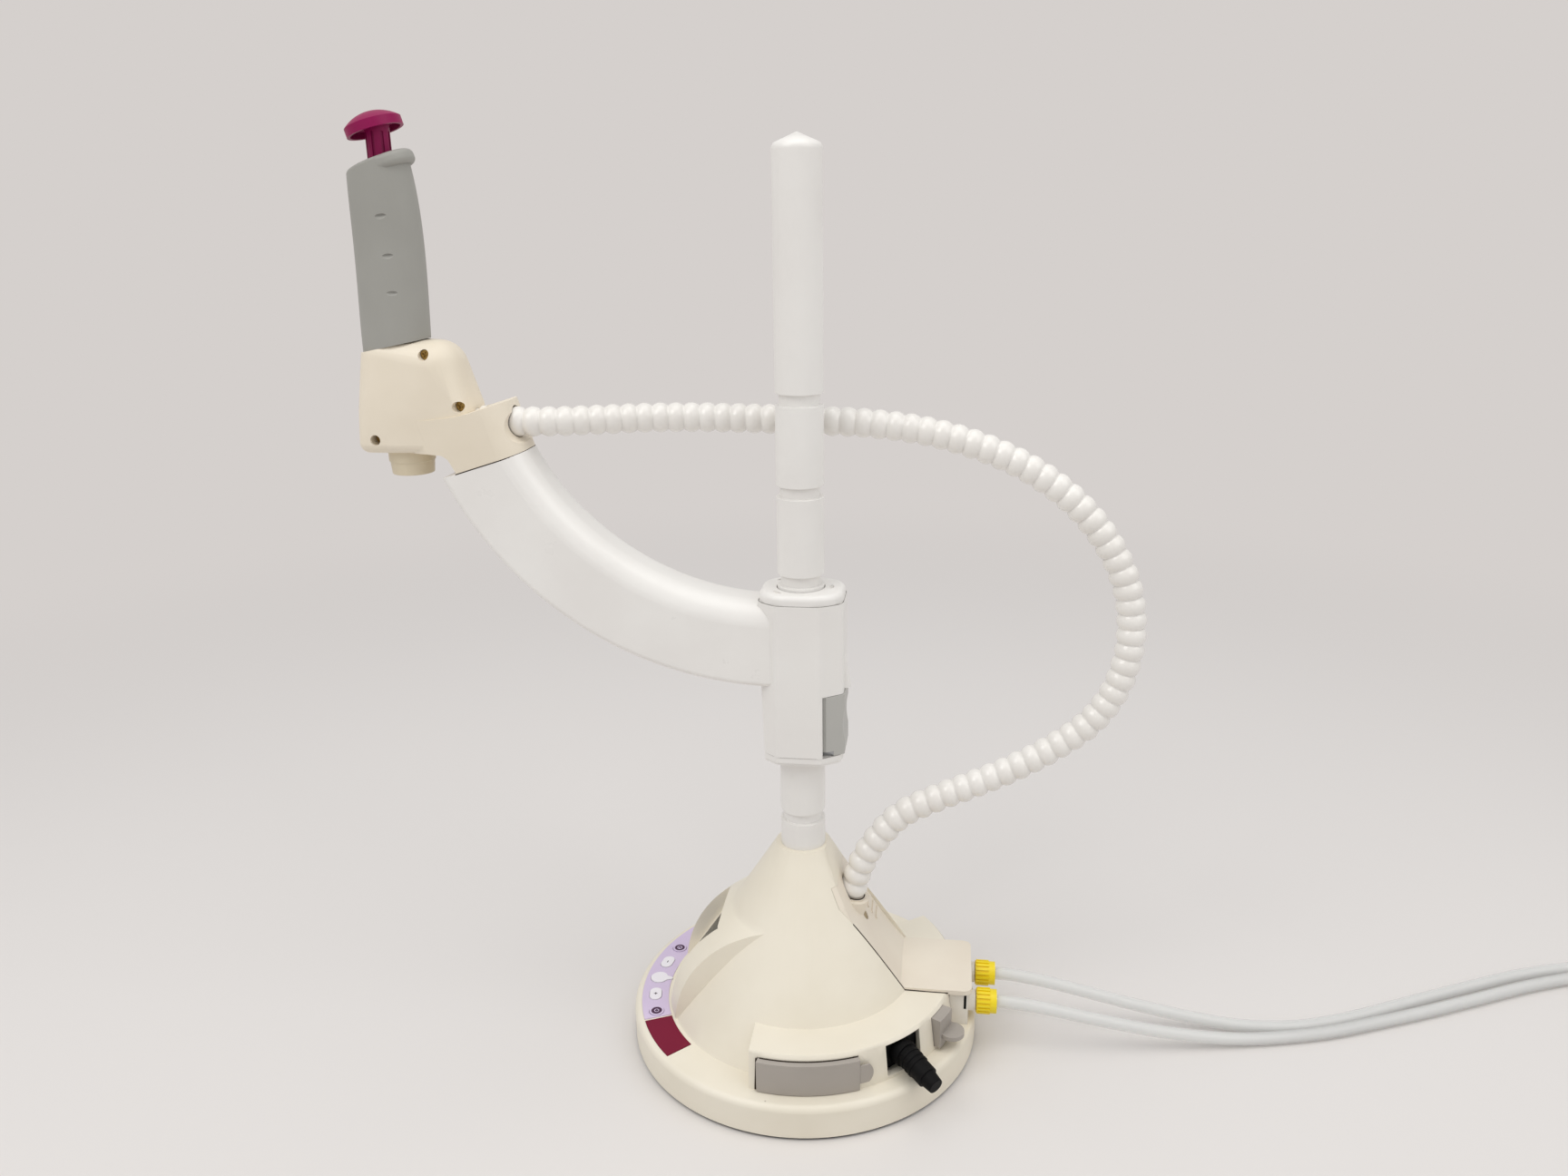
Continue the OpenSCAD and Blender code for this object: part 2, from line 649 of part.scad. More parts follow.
module rear_cover_screw() {
    color("#8f9194") on_rear(cover_screw[0], cover_screw[1], -1.6) {
        cylinder(r = 3.2, h = 1.3);
        translate([0, 0, -1.8]) cylinder(r = 1.55, h = 2.4);
    }
}

module connector_block() {
    color("#e8e8e4") {
        translate([block_x, -24.7, rim_z]) cube([20.5, 49.4, lid_z - rim_z - fit]);
        for (s = [-1, 1]) translate([block_x + 20, s * nut_y, nut_z]) rotate([0, 90, 0]) {
            cylinder(r = 5, h = 12 - 2 * fit);
            cylinder(r = 6.4, h = 5.2);
        }
    }
}

module tube_nut(s) {
    color("#f0d714") translate([base_r - 0.4, s * nut_y, nut_z]) rotate([0, 90, 0]) difference() {
        union() {
            cylinder(r = nut_r - 0.7, h = nut_len);
            for (i = [0:17]) rotate([0, 0, 20 * i]) translate([nut_r - 1.3, -0.75, 0.6])
                cube([1.3, 1.5, nut_len - 4.6]);
        }
        translate([0, 0, -1]) cylinder(r = 5 + slide_gap, h = 7.4 + slide_gap);
        cylinder(r = tube_d / 2 + slide_gap, h = far);
    }
}

module feed_nut() {
    tube_nut(1);
}

module return_nut() {
    tube_nut(-1);
}

module hose_gland() {
    color("#cfcfcb") hose_axis() difference() {
        union() {
            translate([0, 0, -11]) cylinder(r = hose_r + 0.6 - tiny, h = 11 - 2 * fit);
            translate([0, 0, -30]) cylinder(r = 6, h = 20);
        }
        translate([0, 0, -40]) cylinder(r = hose_bore, h = 60);
    }
}

module post() {
    color("#e8e8e6") difference() {
        rotate_extrude() difference() {
            union() {
                translate([0, plate_top]) square([post_r, post_top - plate_top - tip_h]);
                polygon([[0, post_top - tip_h - 1], [post_r, post_top - tip_h - 1], [post_r, post_top - tip_h],
                    [post_r - 0.35, post_top - 0.79 * tip_h], [post_r - 1.4, post_top - 0.6 * tip_h], [0, post_top]]);
            }
            for (i = [0:5]) translate([groove_d / 2, groove_z + i * groove_pitch - groove_h / 2])
                translate([0, i == 0 ? groove_shift : 0]) square([20, groove_h]);
        }
        cylinder(r = 5.05, h = plate_top + 32);
    }
}

module post_bolt() {
    color("#9a9c9e") {
        translate([0, 0, pad_t + 0.2]) cylinder(r = 8, h = 5);
        translate([0, 0, pad_t + 5]) cylinder(r = 5, h = plate_t + 24);
    }
}

module octagon(d) {
    polygon([[-oct_x, -sleeve_half_w - d], [oct_x, -sleeve_half_w - d], [sleeve_back + d, -oct_y],
        [sleeve_back + d, oct_y], [oct_x, sleeve_half_w + d], [-oct_x, sleeve_half_w + d], [-sleeve_front - d, oct_y],
        [-sleeve_front - d, -oct_y]]);
}

// the octagon with rounded corners
module soft_octagon(d, r) {
    offset(r, $fn = 40) offset(delta = -r) octagon(d);
}

// the front of the carriage draws in towards its foot
module tapered() {
    difference() {
        children();
        translate([-sleeve_front, 0, cap_low]) rotate([0, -atan(sleeve_taper / (cap_low - ring_high)), 0])
            translate([-far, -far / 2, -far]) cube([far, far, 2 * far]);
    }
}

module slide_bush() {
    color("#d8d8d4") difference() {
        translate([0, 0, bush_low]) cylinder(r = bush_out, h = cap_low - slide_gap - bush_low);
        cylinder(r = bush_in, h = far);
    }
}

module sleeve() {
    color("#ececea") difference() {
        union() {
            tapered() translate([0, 0, ring_high]) linear_extrude(cap_low - ring_high) soft_octagon(0, 3);
            translate([sleeve_back - 0.6, 0, button_high + slide_gap]) cylinder(r1 = 4.4, r2 = 0.8, h = 20);
        }
        translate([0, 0, bush_low - slide_gap]) cylinder(r = bore_in, h = far);
        translate([0, 0, ring_high - 1]) linear_extrude(bush_low - slide_gap - ring_high + 1) intersection() {
            octagon(-1.4);
            translate([spring_front, -17]) square([60, 34]);
        }
        difference() {
            union() {
                translate([button_x, -far / 2, ring_high - 1])
                    cube([60, far, button_high + slide_gap - ring_high + 1]);
                translate([button_x - button_travel - 0.5, -20.2, ring_high - 1])
                    cube([3, 40.4, button_high + slide_gap - ring_high + 1]);
            }
            translate([0, 0, bush_low - slide_gap]) cylinder(r = bore_in + 1.5, h = far);
        }
        for (z = [-14, 14]) arm_bolt(z, fit);
    }
}

module arm_bolt(z, gap) {
    translate([-bore_in - 0.2 + gap * 4, 0, arm_c[1] - arm_r + z]) rotate([0, -90, 0]) {
        cylinder(r = 4 + gap, h = 3.2 + gap * 4);
        cylinder(r = 2.5 + gap / 3, h = 28 + gap * 8);
    }
}

module arm_bolts() {
    color("#9a9c9e") for (z = [-14, 14]) arm_bolt(z, 0);
}

module sleeve_cap() {
    color("#ececea") difference() {
        union() {
            translate([0, 0, cap_low]) linear_extrude(4) soft_octagon(-0.5, 4);
            translate([0, 0, cap_low + 3.9]) linear_extrude(2.1) soft_octagon(-1.8, 5);
        }
        cylinder(r = post_r + slide_gap, h = far);
        for (a = [0, 133, -133]) rotate([0, 0, a]) translate([17.2, -3.2, cap_low + 3]) cube([1.8, 6.4, 10]);
    }
}

module sleeve_ring() {
    color("#ececea") difference() {
        union() {
            tapered() translate([0, 0, sleeve_low + 1.8]) linear_extrude(ring_high - sleeve_low - 1.8)
                soft_octagon(-0.4, 4);
            tapered() translate([0, 0, sleeve_low]) linear_extrude(1.9) soft_octagon(-1.6, 4);
        }
        cylinder(r = post_r + slide_gap, h = far);
    }
}

// the latch stops a hair short of the groove, so that the carriage is free to slide
module latch_plate() {
    color("#b4b6b8") translate([0, 0, plate_low]) linear_extrude(latch_t) difference() {
        translate([plate_front, -16.2]) square([20.6 - plate_front, 32.4]);
        circle(post_r + slide_gap);
        translate([button_travel + slide_gap, 0]) circle(post_r + slide_gap);
        translate([0, -post_r - slide_gap]) square([button_travel + slide_gap, post_d + 2 * slide_gap]);
    }
}

module latch_spring() {
    color("#b4b6b8") translate([spring_front, -5, plate_low + 0.2]) linear_extrude(2.4)
        polygon([[0, 0], [0.5, 0], [2.4, 5], [2.8, 5], [2.8, 5.6], [2.1, 5.6], [0.5, 10], [0, 10], [0, 9], [1.7, 5.2],
            [0, 1]]);
}

module release_button() {
    button_edge = button_x + button_travel + slide_gap;
    button_y = sleeve_half_w - (button_edge - oct_x) * (sleeve_half_w - oct_y) / (sleeve_back - oct_x);
    color("#a0a09c") difference() {
        translate([0, 0, button_low]) linear_extrude(button_h) {
            polygon([[button_edge, -button_y], [sleeve_back + 0.8, -oct_y], [sleeve_back + 0.8, oct_y],
                [button_edge, button_y]]);
            translate([button_x - 0.2, -19.2]) square([2.4, 38.4]);
        }
        translate([button_travel + slide_gap, 0, 0]) cylinder(r = bore_in + 1.5, h = far);
        translate([0, -far / 2, 0]) cube([20.6, far, plate_low + latch_t + slide_gap]);
        translate([sleeve_back + 39.7, 0, button_low + 0.5 * button_h]) rotate([90, 0, 0])
            cylinder(r = 40, h = far, center = true);
    }
}

module arm_section() {
    translate([arm_round - arm_half_d, -arm_half_w]) square([2 * arm_half_d - arm_round - arm_edge, 2 * arm_half_w]);
    translate([-arm_half_d, arm_round - arm_half_w]) square([2 * arm_half_d - arm_edge, 2 * (arm_half_w - arm_round)]);
    translate([0, arm_edge - arm_half_w]) square([arm_half_d, 2 * (arm_half_w - arm_edge)]);
    for (t = [-1, 1]) {
        translate([arm_round - arm_half_d, t * (arm_half_w - arm_round)]) circle(arm_round);
        translate([arm_half_d - arm_edge, t * (arm_half_w - arm_edge)]) circle(arm_edge);
    }
}

module on_seat() {
    translate([seat_x, 0, seat_z]) rotate([0, -seat_tilt, 0]) children();
}

module arm() {
    color("#ececea") difference() {
        translate([arm_c[0], 0, arm_c[1]]) rotate([90, 0, 0]) rotate([0, 0, 258 - arm_turn])
            rotate_extrude(angle = arm_turn + 15) translate([arm_r, 0]) arm_section();
        tapered() translate([0, 0, -1]) linear_extrude(far) octagon(0);
        on_seat() translate([-far / 2, -far / 2, 0]) cube([far, far, far]);
        on_seat() translate([0, 0, -14 - tiny]) cylinder(r = peg_r + tiny, h = 40);
        for (z = [-14, 14]) arm_bolt(z, fit);
    }
}

module gun_peg() {
    color("#d8d8d4") on_seat() {
        translate([0, 0, -14]) cylinder(r = peg_r, h = 22);
        translate([0, 0, 7.9]) cylinder(r1 = peg_r, r2 = peg_r - 1.5, h = 3);
    }
}

module at_gun() {
    translate([gun_x, 0, seat_z]) children();
}

module ball(x, y, z, r) {
    translate([x, y, z]) sphere(r, $fn = 36);
}

// the head: a soft block round the valve and a wing that stands on the arm
module head_form() {
    difference() {
        union() {
            at_gun() hull() for (s = [-1, 1]) {
                ball(-17.8, 13.9 * s, 12.5, 6);
                ball(-13.8, 9.9 * s, 30, 10);
                ball(-10.5, 6 * s, 61, 10);
                ball(22, 2.5 * s, 53.5, 16);
                ball(32.7, 9.9 * s, 30.4, 10);
                ball(28, 13.9 * s, 12.5, 6);
            }
            intersection() {
                on_seat() linear_extrude(50) {
                    mirror([1, 0]) arm_section();
                    translate([-arm_half_d, -arm_half_w]) square([arm_half_d, 2 * arm_half_w]);
                    translate([-arm_half_d, 0]) circle(arm_half_w);
                }
                at_gun() side(far) polygon(wing_side);
            }
        }
        at_gun() translate([0, 0, grip_low]) rotate([0, -joint_slope, 0]) translate([-far / 2, -far / 2, 0])
            cube([far, far, far]);
        at_gun() translate([76, 0, 23]) rotate([90, 0, 0]) cylinder(r = 12, h = far, center = true);
        // room for the valve, the core, the nozzle and the hose
        at_gun() {
            translate([0, 0, valve_low - 0.2]) cylinder(r = valve_r + fit, h = valve_high - valve_low + 0.2);
            translate([0, 0, valve_high - tiny]) cylinder(r = core_r + fit, h = far);
            translate([0, 0, -60]) cylinder(r = nozzle_r + fit, h = 60 + valve_low);
            translate([0, 0, inlet_z]) rotate([0, 90, 0]) {
                cylinder(r = 6 + fit, h = 32);
                translate([0, 0, 31.2]) cylinder(r = 7.4 + fit, h = 40);
                translate([0, 0, 45.8]) cylinder(r = 9 + fit, h = 3.4);
                translate([0, 0, 54]) cylinder(r = hose_r + 0.6, h = far);
            }
            for (q = head_screws_at) translate([q[0], 0, q[1]]) rotate([90, 0, 0]) {
                cylinder(r = 1.5 + tiny, h = 24, center = true);
                translate([0, 0, 11]) cylinder(r = 3, h = 40);
            }
        }
        on_seat() translate([0, 0, -1]) cylinder(r = peg_r + slide_gap, h = 12.4 + slide_gap);
    }
}

module head_near() {
    color("#ebe4d4") intersection() {
        head_form();
        translate([-far, -far, 0]) cube([2 * far, far, 3 * far]);
    }
}

module head_far() {
    color("#ebe4d4") intersection() {
        head_form();
        translate([-far, 0, 0]) cube([2 * far, far, 3 * far]);
    }
}

module head_screws() {
    color("#8f9194") at_gun() for (q = head_screws_at) translate([q[0], 0, q[1]]) rotate([90, 0, 0]) {
        translate([0, 0, -11.5]) cylinder(r = 1.5, h = 23);
        translate([0, 0, 11.1]) cylinder(r = 2.7, h = 1.8);
    }
}

module grip_slice(x, z, a, b) {
    translate([x, 0, z]) scale([a / b, 1, 1]) cylinder(r = b, h = 0.4, $fn = 48);
}

module grip() {
    color("#a0a09c") at_gun() difference() {
        union() {
            hull() {
                grip_slice(-1.9, grip_low - 8, 19.5, 15);
                grip_slice(-0.7, grip_low + 34, 20, 15.2);
                grip_slice(-0.4, grip_low + 60, 19.6, 15);
                grip_slice(-0.75, grip_top - 28, 19.1, 14.8);
                grip_slice(-1.35, grip_top - 16, 18.35, 14.5);
                grip_slice(-2.3, grip_top - 2.8, 17.1, 14.1);
            }
            translate([0, 0, grip_top - 3.4]) linear_extrude(20) {
                translate([-4.6, 0]) circle(13.4);
                translate([4.8, 0]) circle(13.4);
                translate([-4.6, -13.4]) square([9.4, 26.8]);
            }
        }
        translate([0, 0, grip_low]) rotate([0, -joint_slope, 0])
            translate([-far / 2, -far / 2, -far]) cube([far, far, far]);
        translate([0, 0, grip_top - 1]) rotate([0, -grip_slope, 0])
            translate([-far / 2, -far / 2, 0]) cube([far, far, 90]);
        translate([0, 0, grip_low - 30]) cylinder(r = core_r + fit, h = grip_top - 7 - grip_low + 30);
        cylinder(r = stem_r + slide_gap, h = far);
    }
}

module grip_core() {
    color("#d8d8d4") at_gun() difference() {
        translate([0, 0, valve_high]) cylinder(r = core_r, h = grip_top - 7 - fit - valve_high);
        translate([0, 0, partition]) cylinder(r = stem_r + 0.5 + slide_gap, h = far);
        translate([0, 0, valve_high - 1]) cylinder(r = stem_r + 0.5 + slide_gap, h = partition - 4 - valve_high + 1);
        cylinder(r = 2 + slide_gap, h = far);
    }
}

module plunger() {
    color("#a0165f") at_gun() difference() {
        union() {
            translate([0, 0, stem_low]) cylinder(r = stem_r + 0.5, h = 4);
            translate([0, 0, stem_low]) cylinder(r = stem_r, h = 29);
            translate([-1, 0, grip_top + 13]) rotate([0, -16, 0]) rotate_extrude() {
                difference() {
                    intersection() {
                        translate([0, -13.5]) circle(24);
                        square([thumb_r, 20]);
                    }
                    translate([stem_r - 1, -1]) square([thumb_r - stem_r - 0.8, 4.2]);
                }
            }
        }
        for (i = [0:7]) rotate([0, 0, 45 * i]) translate([stem_r - 0.9, -0.8, stem_low + 6]) cube([2, 1.6, 19]);
        translate([0, 0, stem_low - 1]) cylinder(r = 2 + tiny, h = 13);
    }
}

module plunger_rod() {
    color("#b4b6b8") at_gun() translate([0, 0, 19.5]) cylinder(r = 2, h = stem_low + 12 - 19.5);
}

module return_spring() {
    low = partition + 0.8;
    high = stem_low - 0.8;
    n = spring_coils * 8;
    color("#b4b6b8") at_gun()
        solid_tube([for (i = [0:n]) [4.6 * cos(45 * i), 4.6 * sin(45 * i), low + (high - low) * i / n]], 0.7, 6);
}

module valve_body() {
    color("#e4e4e0") at_gun() difference() {
        union() {
            translate([0, 0, valve_low]) cylinder(r = valve_r, h = valve_high - valve_low);
            translate([0, 0, inlet_z]) rotate([0, 90, 0]) cylinder(r = 6, h = 31);
            translate([0, 0, inlet_z]) rotate([0, 90, 0]) cylinder(r = 4.1, h = 37);
        }
        translate([0, 0, valve_low - 1]) cylinder(r = 6.4, h = 8.7);
        translate([0, 0, 22]) cylinder(r = 6.4, h = 12);
        cylinder(r = 3.4, h = 24);
        cylinder(r = 2 + slide_gap, h = far);
        translate([4, 0, inlet_z + 1]) rotate([0, 90, 0]) cylinder(r = 2.4, h = 60);
    }
}

module valve_poppet() {
    color("#2b2b2b") at_gun() translate([0, 0, 15.8]) cylinder(r = 5.4, h = 3.7);
}

module nozzle() {
    color("#ebe4d4") at_gun() difference() {
        union() {
            translate([0, 0, -nozzle_low]) cylinder(r1 = nozzle_r - 1.3, r2 = nozzle_r, h = 14);
            translate([0, 0, 0]) cylinder(r = nozzle_r, h = nozzle_top);
        }
        translate([0, 0, -20]) cylinder(d = outlet_d, h = far);
        translate([0, 0, -nozzle_low - 1]) cylinder(r = nozzle_r - 3.2, h = 7);
    }
}

module nozzle_seal() {
    color("#2b2b2b") at_gun() translate([0, 0, (nozzle_top + valve_low) / 2]) rotate_extrude()
        translate([7.7, 0]) circle((valve_low - nozzle_top) / 2, $fn = 32);
}

module hose_cuff() {
    color("#e4e4e0") at_gun() translate([0, 0, inlet_z]) rotate([0, 90, 0]) difference() {
        union() {
            translate([0, 0, 31.2]) cylinder(r = 7.4, h = cuff_reach - slide_gap - 31.2);
            translate([0, 0, 46]) cylinder(r = 9, h = 3);
        }
        translate([0, 0, 30]) cylinder(r = 4.1 + tiny, h = 9);
        translate([0, 0, 38.9]) cylinder(r = hose_bore, h = far);
    }
}

module hose() {
    path = smooth(hose_route, 8);
    fine = evenly(path, 2 * hose_ribs);
    color("#e6e6e2") open_tube(fine, [for (i = [0:2 * hose_ribs]) i % 2 == 0 ? hose_root : hose_r],
        evenly(path, 48), hose_bore, 8);
}

module feed_tube() {
    color("#dfe3e2") solid_tube(smooth(feed_route, 2), tube_d / 2, 8);
}

module return_tube() {
    color("#dfe3e2") solid_tube(smooth(return_route, 2), tube_d / 2, 8);
}

// both tubes are wound side by side, in on the table and out again one layer up
function step_up(x) = x <= 0 ? 0 : x >= 1 ? 1 : x * x * (3 - 2 * x);
function wound(inner) = [for (i = [0:round(48 * coil_turns)]) let(t = i / 24, u = t - coil_turns,
    r = coil_in + 2 * coil_step * abs(u) - inner * coil_step, a = 89.2 - 360 * t)
    [coil_c[0] + r * cos(a), coil_c[1] + r * sin(a), coil_z + coil_step * step_up(u * 2 + 0.5)]];

module feed_coil() {
    color("#dfe3e2") solid_tube(wound(0), tube_d / 2, 6);
}

module return_coil() {
    color("#dfe3e2") solid_tube(wound(1), tube_d / 2, 6);
}

module coil_tie() {
    first = coil_turns - tie_turn;
    second = abs(tie_turn + 1 - coil_turns);
    r0 = coil_in + 2 * coil_step * min(first, second) - coil_step - tube_d / 2 - 0.8;
    r1 = coil_in + 2 * coil_step * max(first, second) + tube_d / 2 + 0.8;
    color("#3a3a3a") translate([coil_c[0], coil_c[1], 0]) rotate([0, 0, 90 - 360 * tie_turn]) difference() {
        translate([r0 - 0.9, -4, 0.1]) cube([r1 - r0 + 1.8, 8, coil_z + coil_step + tube_d / 2 + 1.4]);
        translate([r0, -6, 1]) cube([r1 - r0, 12, coil_z + coil_step + tube_d / 2 - 0.4]);
    }
}

echo(feed_coil_gap = least(wound(0), wound(0), 8) - tube_d, return_coil_gap = least(wound(1), wound(1), 8) - tube_d,
    between_coils = least(wound(0), wound(1), 0) - tube_d);
echo(hose_length = total(smooth(hose_route, 8)), feed_length = total(smooth(feed_route, 8)) + total(wound(0)),
    return_length = total(smooth(return_route, 8)) + total(wound(1)));
echo(between_tubes = least(smooth(feed_route, 8), smooth(return_route, 8), 0) - tube_d);

base_pad();
base_plate();
base_screws();
base_shell();
post();
post_bolt();
keypad_label();
plain_label();
key_1();
key_2();
key_3();
key_4();
key_5();
key_board();
display_window();
display_module();
control_board();
board_standoffs();
wide_port_cover();
small_port_cover();
port_socket();
port_plug();
rear_cover();
rear_cover_screw();
connector_block();
feed_nut();
return_nut();
hose_gland();
slide_bush();
sleeve();
sleeve_cap();
sleeve_ring();
latch_plate();
latch_spring();
release_button();
arm();
arm_bolts();
gun_peg();
head_near();
head_far();
head_screws();
grip();
grip_core();
plunger();
plunger_rod();
return_spring();
valve_body();
valve_poppet();
nozzle();
nozzle_seal();
hose_cuff();
hose();
feed_tube();
return_tube();
feed_coil();
return_coil();
coil_tie();
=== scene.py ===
import json
import math

import bmesh
import bpy
from mathutils import Matrix, Vector


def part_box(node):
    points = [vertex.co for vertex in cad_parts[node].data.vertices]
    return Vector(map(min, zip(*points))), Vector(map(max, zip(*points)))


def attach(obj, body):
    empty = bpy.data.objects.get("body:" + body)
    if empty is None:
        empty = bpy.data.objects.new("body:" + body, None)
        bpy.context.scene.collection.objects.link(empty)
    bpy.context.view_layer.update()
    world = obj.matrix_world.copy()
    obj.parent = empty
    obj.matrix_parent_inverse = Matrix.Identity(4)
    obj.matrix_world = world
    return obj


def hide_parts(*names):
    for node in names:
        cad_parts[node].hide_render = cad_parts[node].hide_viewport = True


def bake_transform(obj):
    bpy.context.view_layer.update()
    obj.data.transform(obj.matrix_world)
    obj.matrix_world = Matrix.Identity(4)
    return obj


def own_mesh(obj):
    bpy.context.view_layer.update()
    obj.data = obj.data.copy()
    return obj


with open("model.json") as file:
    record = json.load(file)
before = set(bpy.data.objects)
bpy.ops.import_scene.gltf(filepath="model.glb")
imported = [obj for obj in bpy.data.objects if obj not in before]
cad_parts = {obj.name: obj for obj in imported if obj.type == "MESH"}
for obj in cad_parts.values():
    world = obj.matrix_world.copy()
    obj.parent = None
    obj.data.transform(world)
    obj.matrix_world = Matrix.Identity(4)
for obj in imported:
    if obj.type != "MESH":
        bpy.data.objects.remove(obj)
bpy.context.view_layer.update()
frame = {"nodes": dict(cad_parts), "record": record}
nodes = frame["nodes"]


# The bench: a white laminate top that runs back into a pale painted wall. Soft lamps hang overhead, at the
# front left and, weaker, at the right. The camera looks down on the dispenser from its near side.
class Wire:
    """One shader socket. Sums and products of it add their Math nodes, and node() adds any other node."""

    def __init__(self, tree, socket=None):
        self.tree = tree
        self.socket = socket

    def node(self, kind, settings=None, sockets=None, out=0):
        made = self.tree.nodes.new("ShaderNode" + kind)
        for name, value in (settings or {}).items():
            setattr(made, name, value)
        for name, value in (sockets or {}).items():
            if isinstance(value, Wire):
                value.into(made.inputs[name])
            else:
                made.inputs[name].default_value = value
        return Wire(self.tree, made.outputs[out])

    def into(self, entry):
        """Leads this socket into the entry of another node."""
        self.tree.links.new(self.socket, entry)

    def math(self, operation, *terms):
        return self.node("Math", {"operation": operation}, dict(enumerate(terms)))

    def __add__(self, other):
        return self.math("ADD", self, other)

    def __sub__(self, other):
        return self.math("SUBTRACT", self, other)

    def __rsub__(self, other):
        return self.math("SUBTRACT", other, self)

    def __mul__(self, other):
        return self.math("MULTIPLY", self, other)

    __radd__ = __add__

    def ramp(self, low, high):
        """0 below low, 1 above high, and a soft step between."""
        ends = {"Value": self, "From Min": low, "From Max": high}
        return self.node("MapRange", {"interpolation_type": "SMOOTHSTEP"}, ends)

    def tint(self, first, second):
        """A colour that goes from first to second as this value goes from 0 to 1."""
        return self.node("Mix", {"data_type": "RGBA"}, {0: self, 6: first, 7: second}, 2)

    def noise(self, size, detail=2.0, rough=0.5):
        """Cloudy noise of about that grain size in metres, read on these coordinates."""
        look = {"Vector": self, "Scale": 0.5 / size, "Detail": detail, "Roughness": rough}
        return self.node("TexNoise", None, look)

    def bands(self, direction, scale, wobble=0.0, detail=2.0):
        """Soft bands that follow each other along one axis of these coordinates."""
        look = {"Vector": self, "Scale": scale, "Distortion": wobble, "Detail": detail}
        return self.node("TexWave", {"bands_direction": direction}, look)

    def bump(self, strength, depth):
        """A normal for a surface that this value raises, by up to a depth in metres."""
        return self.node("Bump", None, {"Strength": strength, "Distance": depth, "Height": self})


def colour(red, green, blue):
    """A colour as a screen shows it, 0 to 255, in the renderer's own linear numbers."""
    shares = [level / 255 for level in (red, green, blue)]
    return tuple(s / 12.92 if s <= 0.04045 else ((s + 0.055) / 1.055) ** 2.4 for s in shares) + (1.0,)


def blank(name):
    """A new material, with its Object coordinates and the inputs of its shader."""
    made = bpy.data.materials.new(name)
    made.use_nodes = True
    place = Wire(made.node_tree).node("TexCoord", out=3)
    return made, place, made.node_tree.nodes["Principled BSDF"].inputs


wall_paint = colour(213, 208, 205)
bench_radius = 6.0
# metres from the post where the laminate starts to fade, and where all is wall
laminate_ends, wall_starts = 0.55, 1.5

bench_top, place, shader = blank("bench_laminate")
shader["Base Color"].default_value = colour(226, 222, 219)
shader["Roughness"].default_value = 0.55
laminate = Wire(bench_top.node_tree, bench_top.node_tree.nodes["Principled BSDF"].outputs[0])
away = place.node("VectorMath", {"operation": "LENGTH"}, {0: place}, 1).ramp(laminate_ends, wall_starts)
wall_glow = place.node("Emission", None, {"Color": wall_paint, "Strength": 1.0})
bench_mix = place.node("MixShader", None, {0: away, 1: laminate, 2: wall_glow})
bench_mix.into(bench_top.node_tree.nodes["Material Output"].inputs[0])

bm = bmesh.new()
bmesh.ops.create_circle(bm, cap_ends=True, segments=96, radius=bench_radius)
bench_mesh = bpy.data.meshes.new("bench")
bm.to_mesh(bench_mesh)
bm.free()
bench_mesh.materials.append(bench_top)
bench = bpy.data.objects.new("bench", bench_mesh)
bpy.context.collection.objects.link(bench)

room = bpy.data.worlds.new("room")
bpy.context.scene.world = room
room.use_nodes = True
camera_ray = Wire(room.node_tree).node("LightPath")
rays = camera_ray.socket.node.outputs
glossy_ray = Wire(room.node_tree, rays["Is Glossy Ray"])
clear_ray = Wire(room.node_tree, rays["Is Transmission Ray"])
seen = camera_ray + glossy_ray + clear_ray
room_light = seen.node("Background", None, {"Color": (0.97, 0.98, 1.0, 1.0), "Strength": 0.56})
room_wall = seen.node("Background", None, {"Color": wall_paint, "Strength": 1.0})
room_mix = seen.node("MixShader", None, {0: seen.math("MINIMUM", seen, 1.0), 1: room_light, 2: room_wall})
room_mix.into(room.node_tree.nodes["World Output"].inputs[0])


def lamp(name, at, aim, size, watts, warm):
    """A square soft lamp that hangs at one point and shines at another."""
    light = bpy.data.lights.new(name, "AREA")
    light.size = size
    light.energy = watts
    light.color = warm
    held = bpy.data.objects.new(name, light)
    held.location = at
    held.rotation_euler = (Vector(aim) - Vector(at)).to_track_quat("-Z", "Y").to_euler()
    bpy.context.collection.objects.link(held)


lamp("lamp_overhead", at=(0.1, -0.1, 2.1), aim=(0, 0, 0.2), size=1.6, watts=11.5, warm=(1.0, 0.99, 0.97))
lamp("lamp_front_left", at=(-0.9, -0.9, 1.7), aim=(0, 0, 0.2), size=1.0, watts=10.0, warm=(1.0, 0.985, 0.96))
lamp("lamp_right", at=(1.2, -0.5, 1.3), aim=(0, 0, 0.25), size=1.1, watts=5.0, warm=(1.0, 0.99, 0.97))

# where the photograph was taken from: the camera's pan, tilt and roll, its distance from the post and its
# height over the bench, and last the turn of the whole onto the object
pan, tilt, roll = -0.0151029, 0.302395, -0.0141507
camera_distance, camera_height = 0.65738, 0.5009
object_turn = math.radians(7.0)
ahead = Vector((math.sin(pan) * math.cos(tilt), math.cos(pan) * math.cos(tilt), -math.sin(tilt)))
level = Vector((math.cos(pan), -math.sin(pan), 0.0))
upward = level.cross(ahead)
right = math.cos(roll) * level + math.sin(roll) * upward
top = math.cos(roll) * upward - math.sin(roll) * level
stand = Matrix((
    (right.x, top.x, -ahead.x, 0.0),
    (right.y, top.y, -ahead.y, -camera_distance),
    (right.z, top.z, -ahead.z, camera_height),
    (0.0, 0.0, 0.0, 1.0),
))
camera_data = bpy.data.cameras.new("camera")
camera_data.lens = 27.083
camera_data.sensor_width = 36.0
camera_data.sensor_fit = "HORIZONTAL"
camera_data.clip_start = 0.02
camera = bpy.data.objects.new("camera", camera_data)
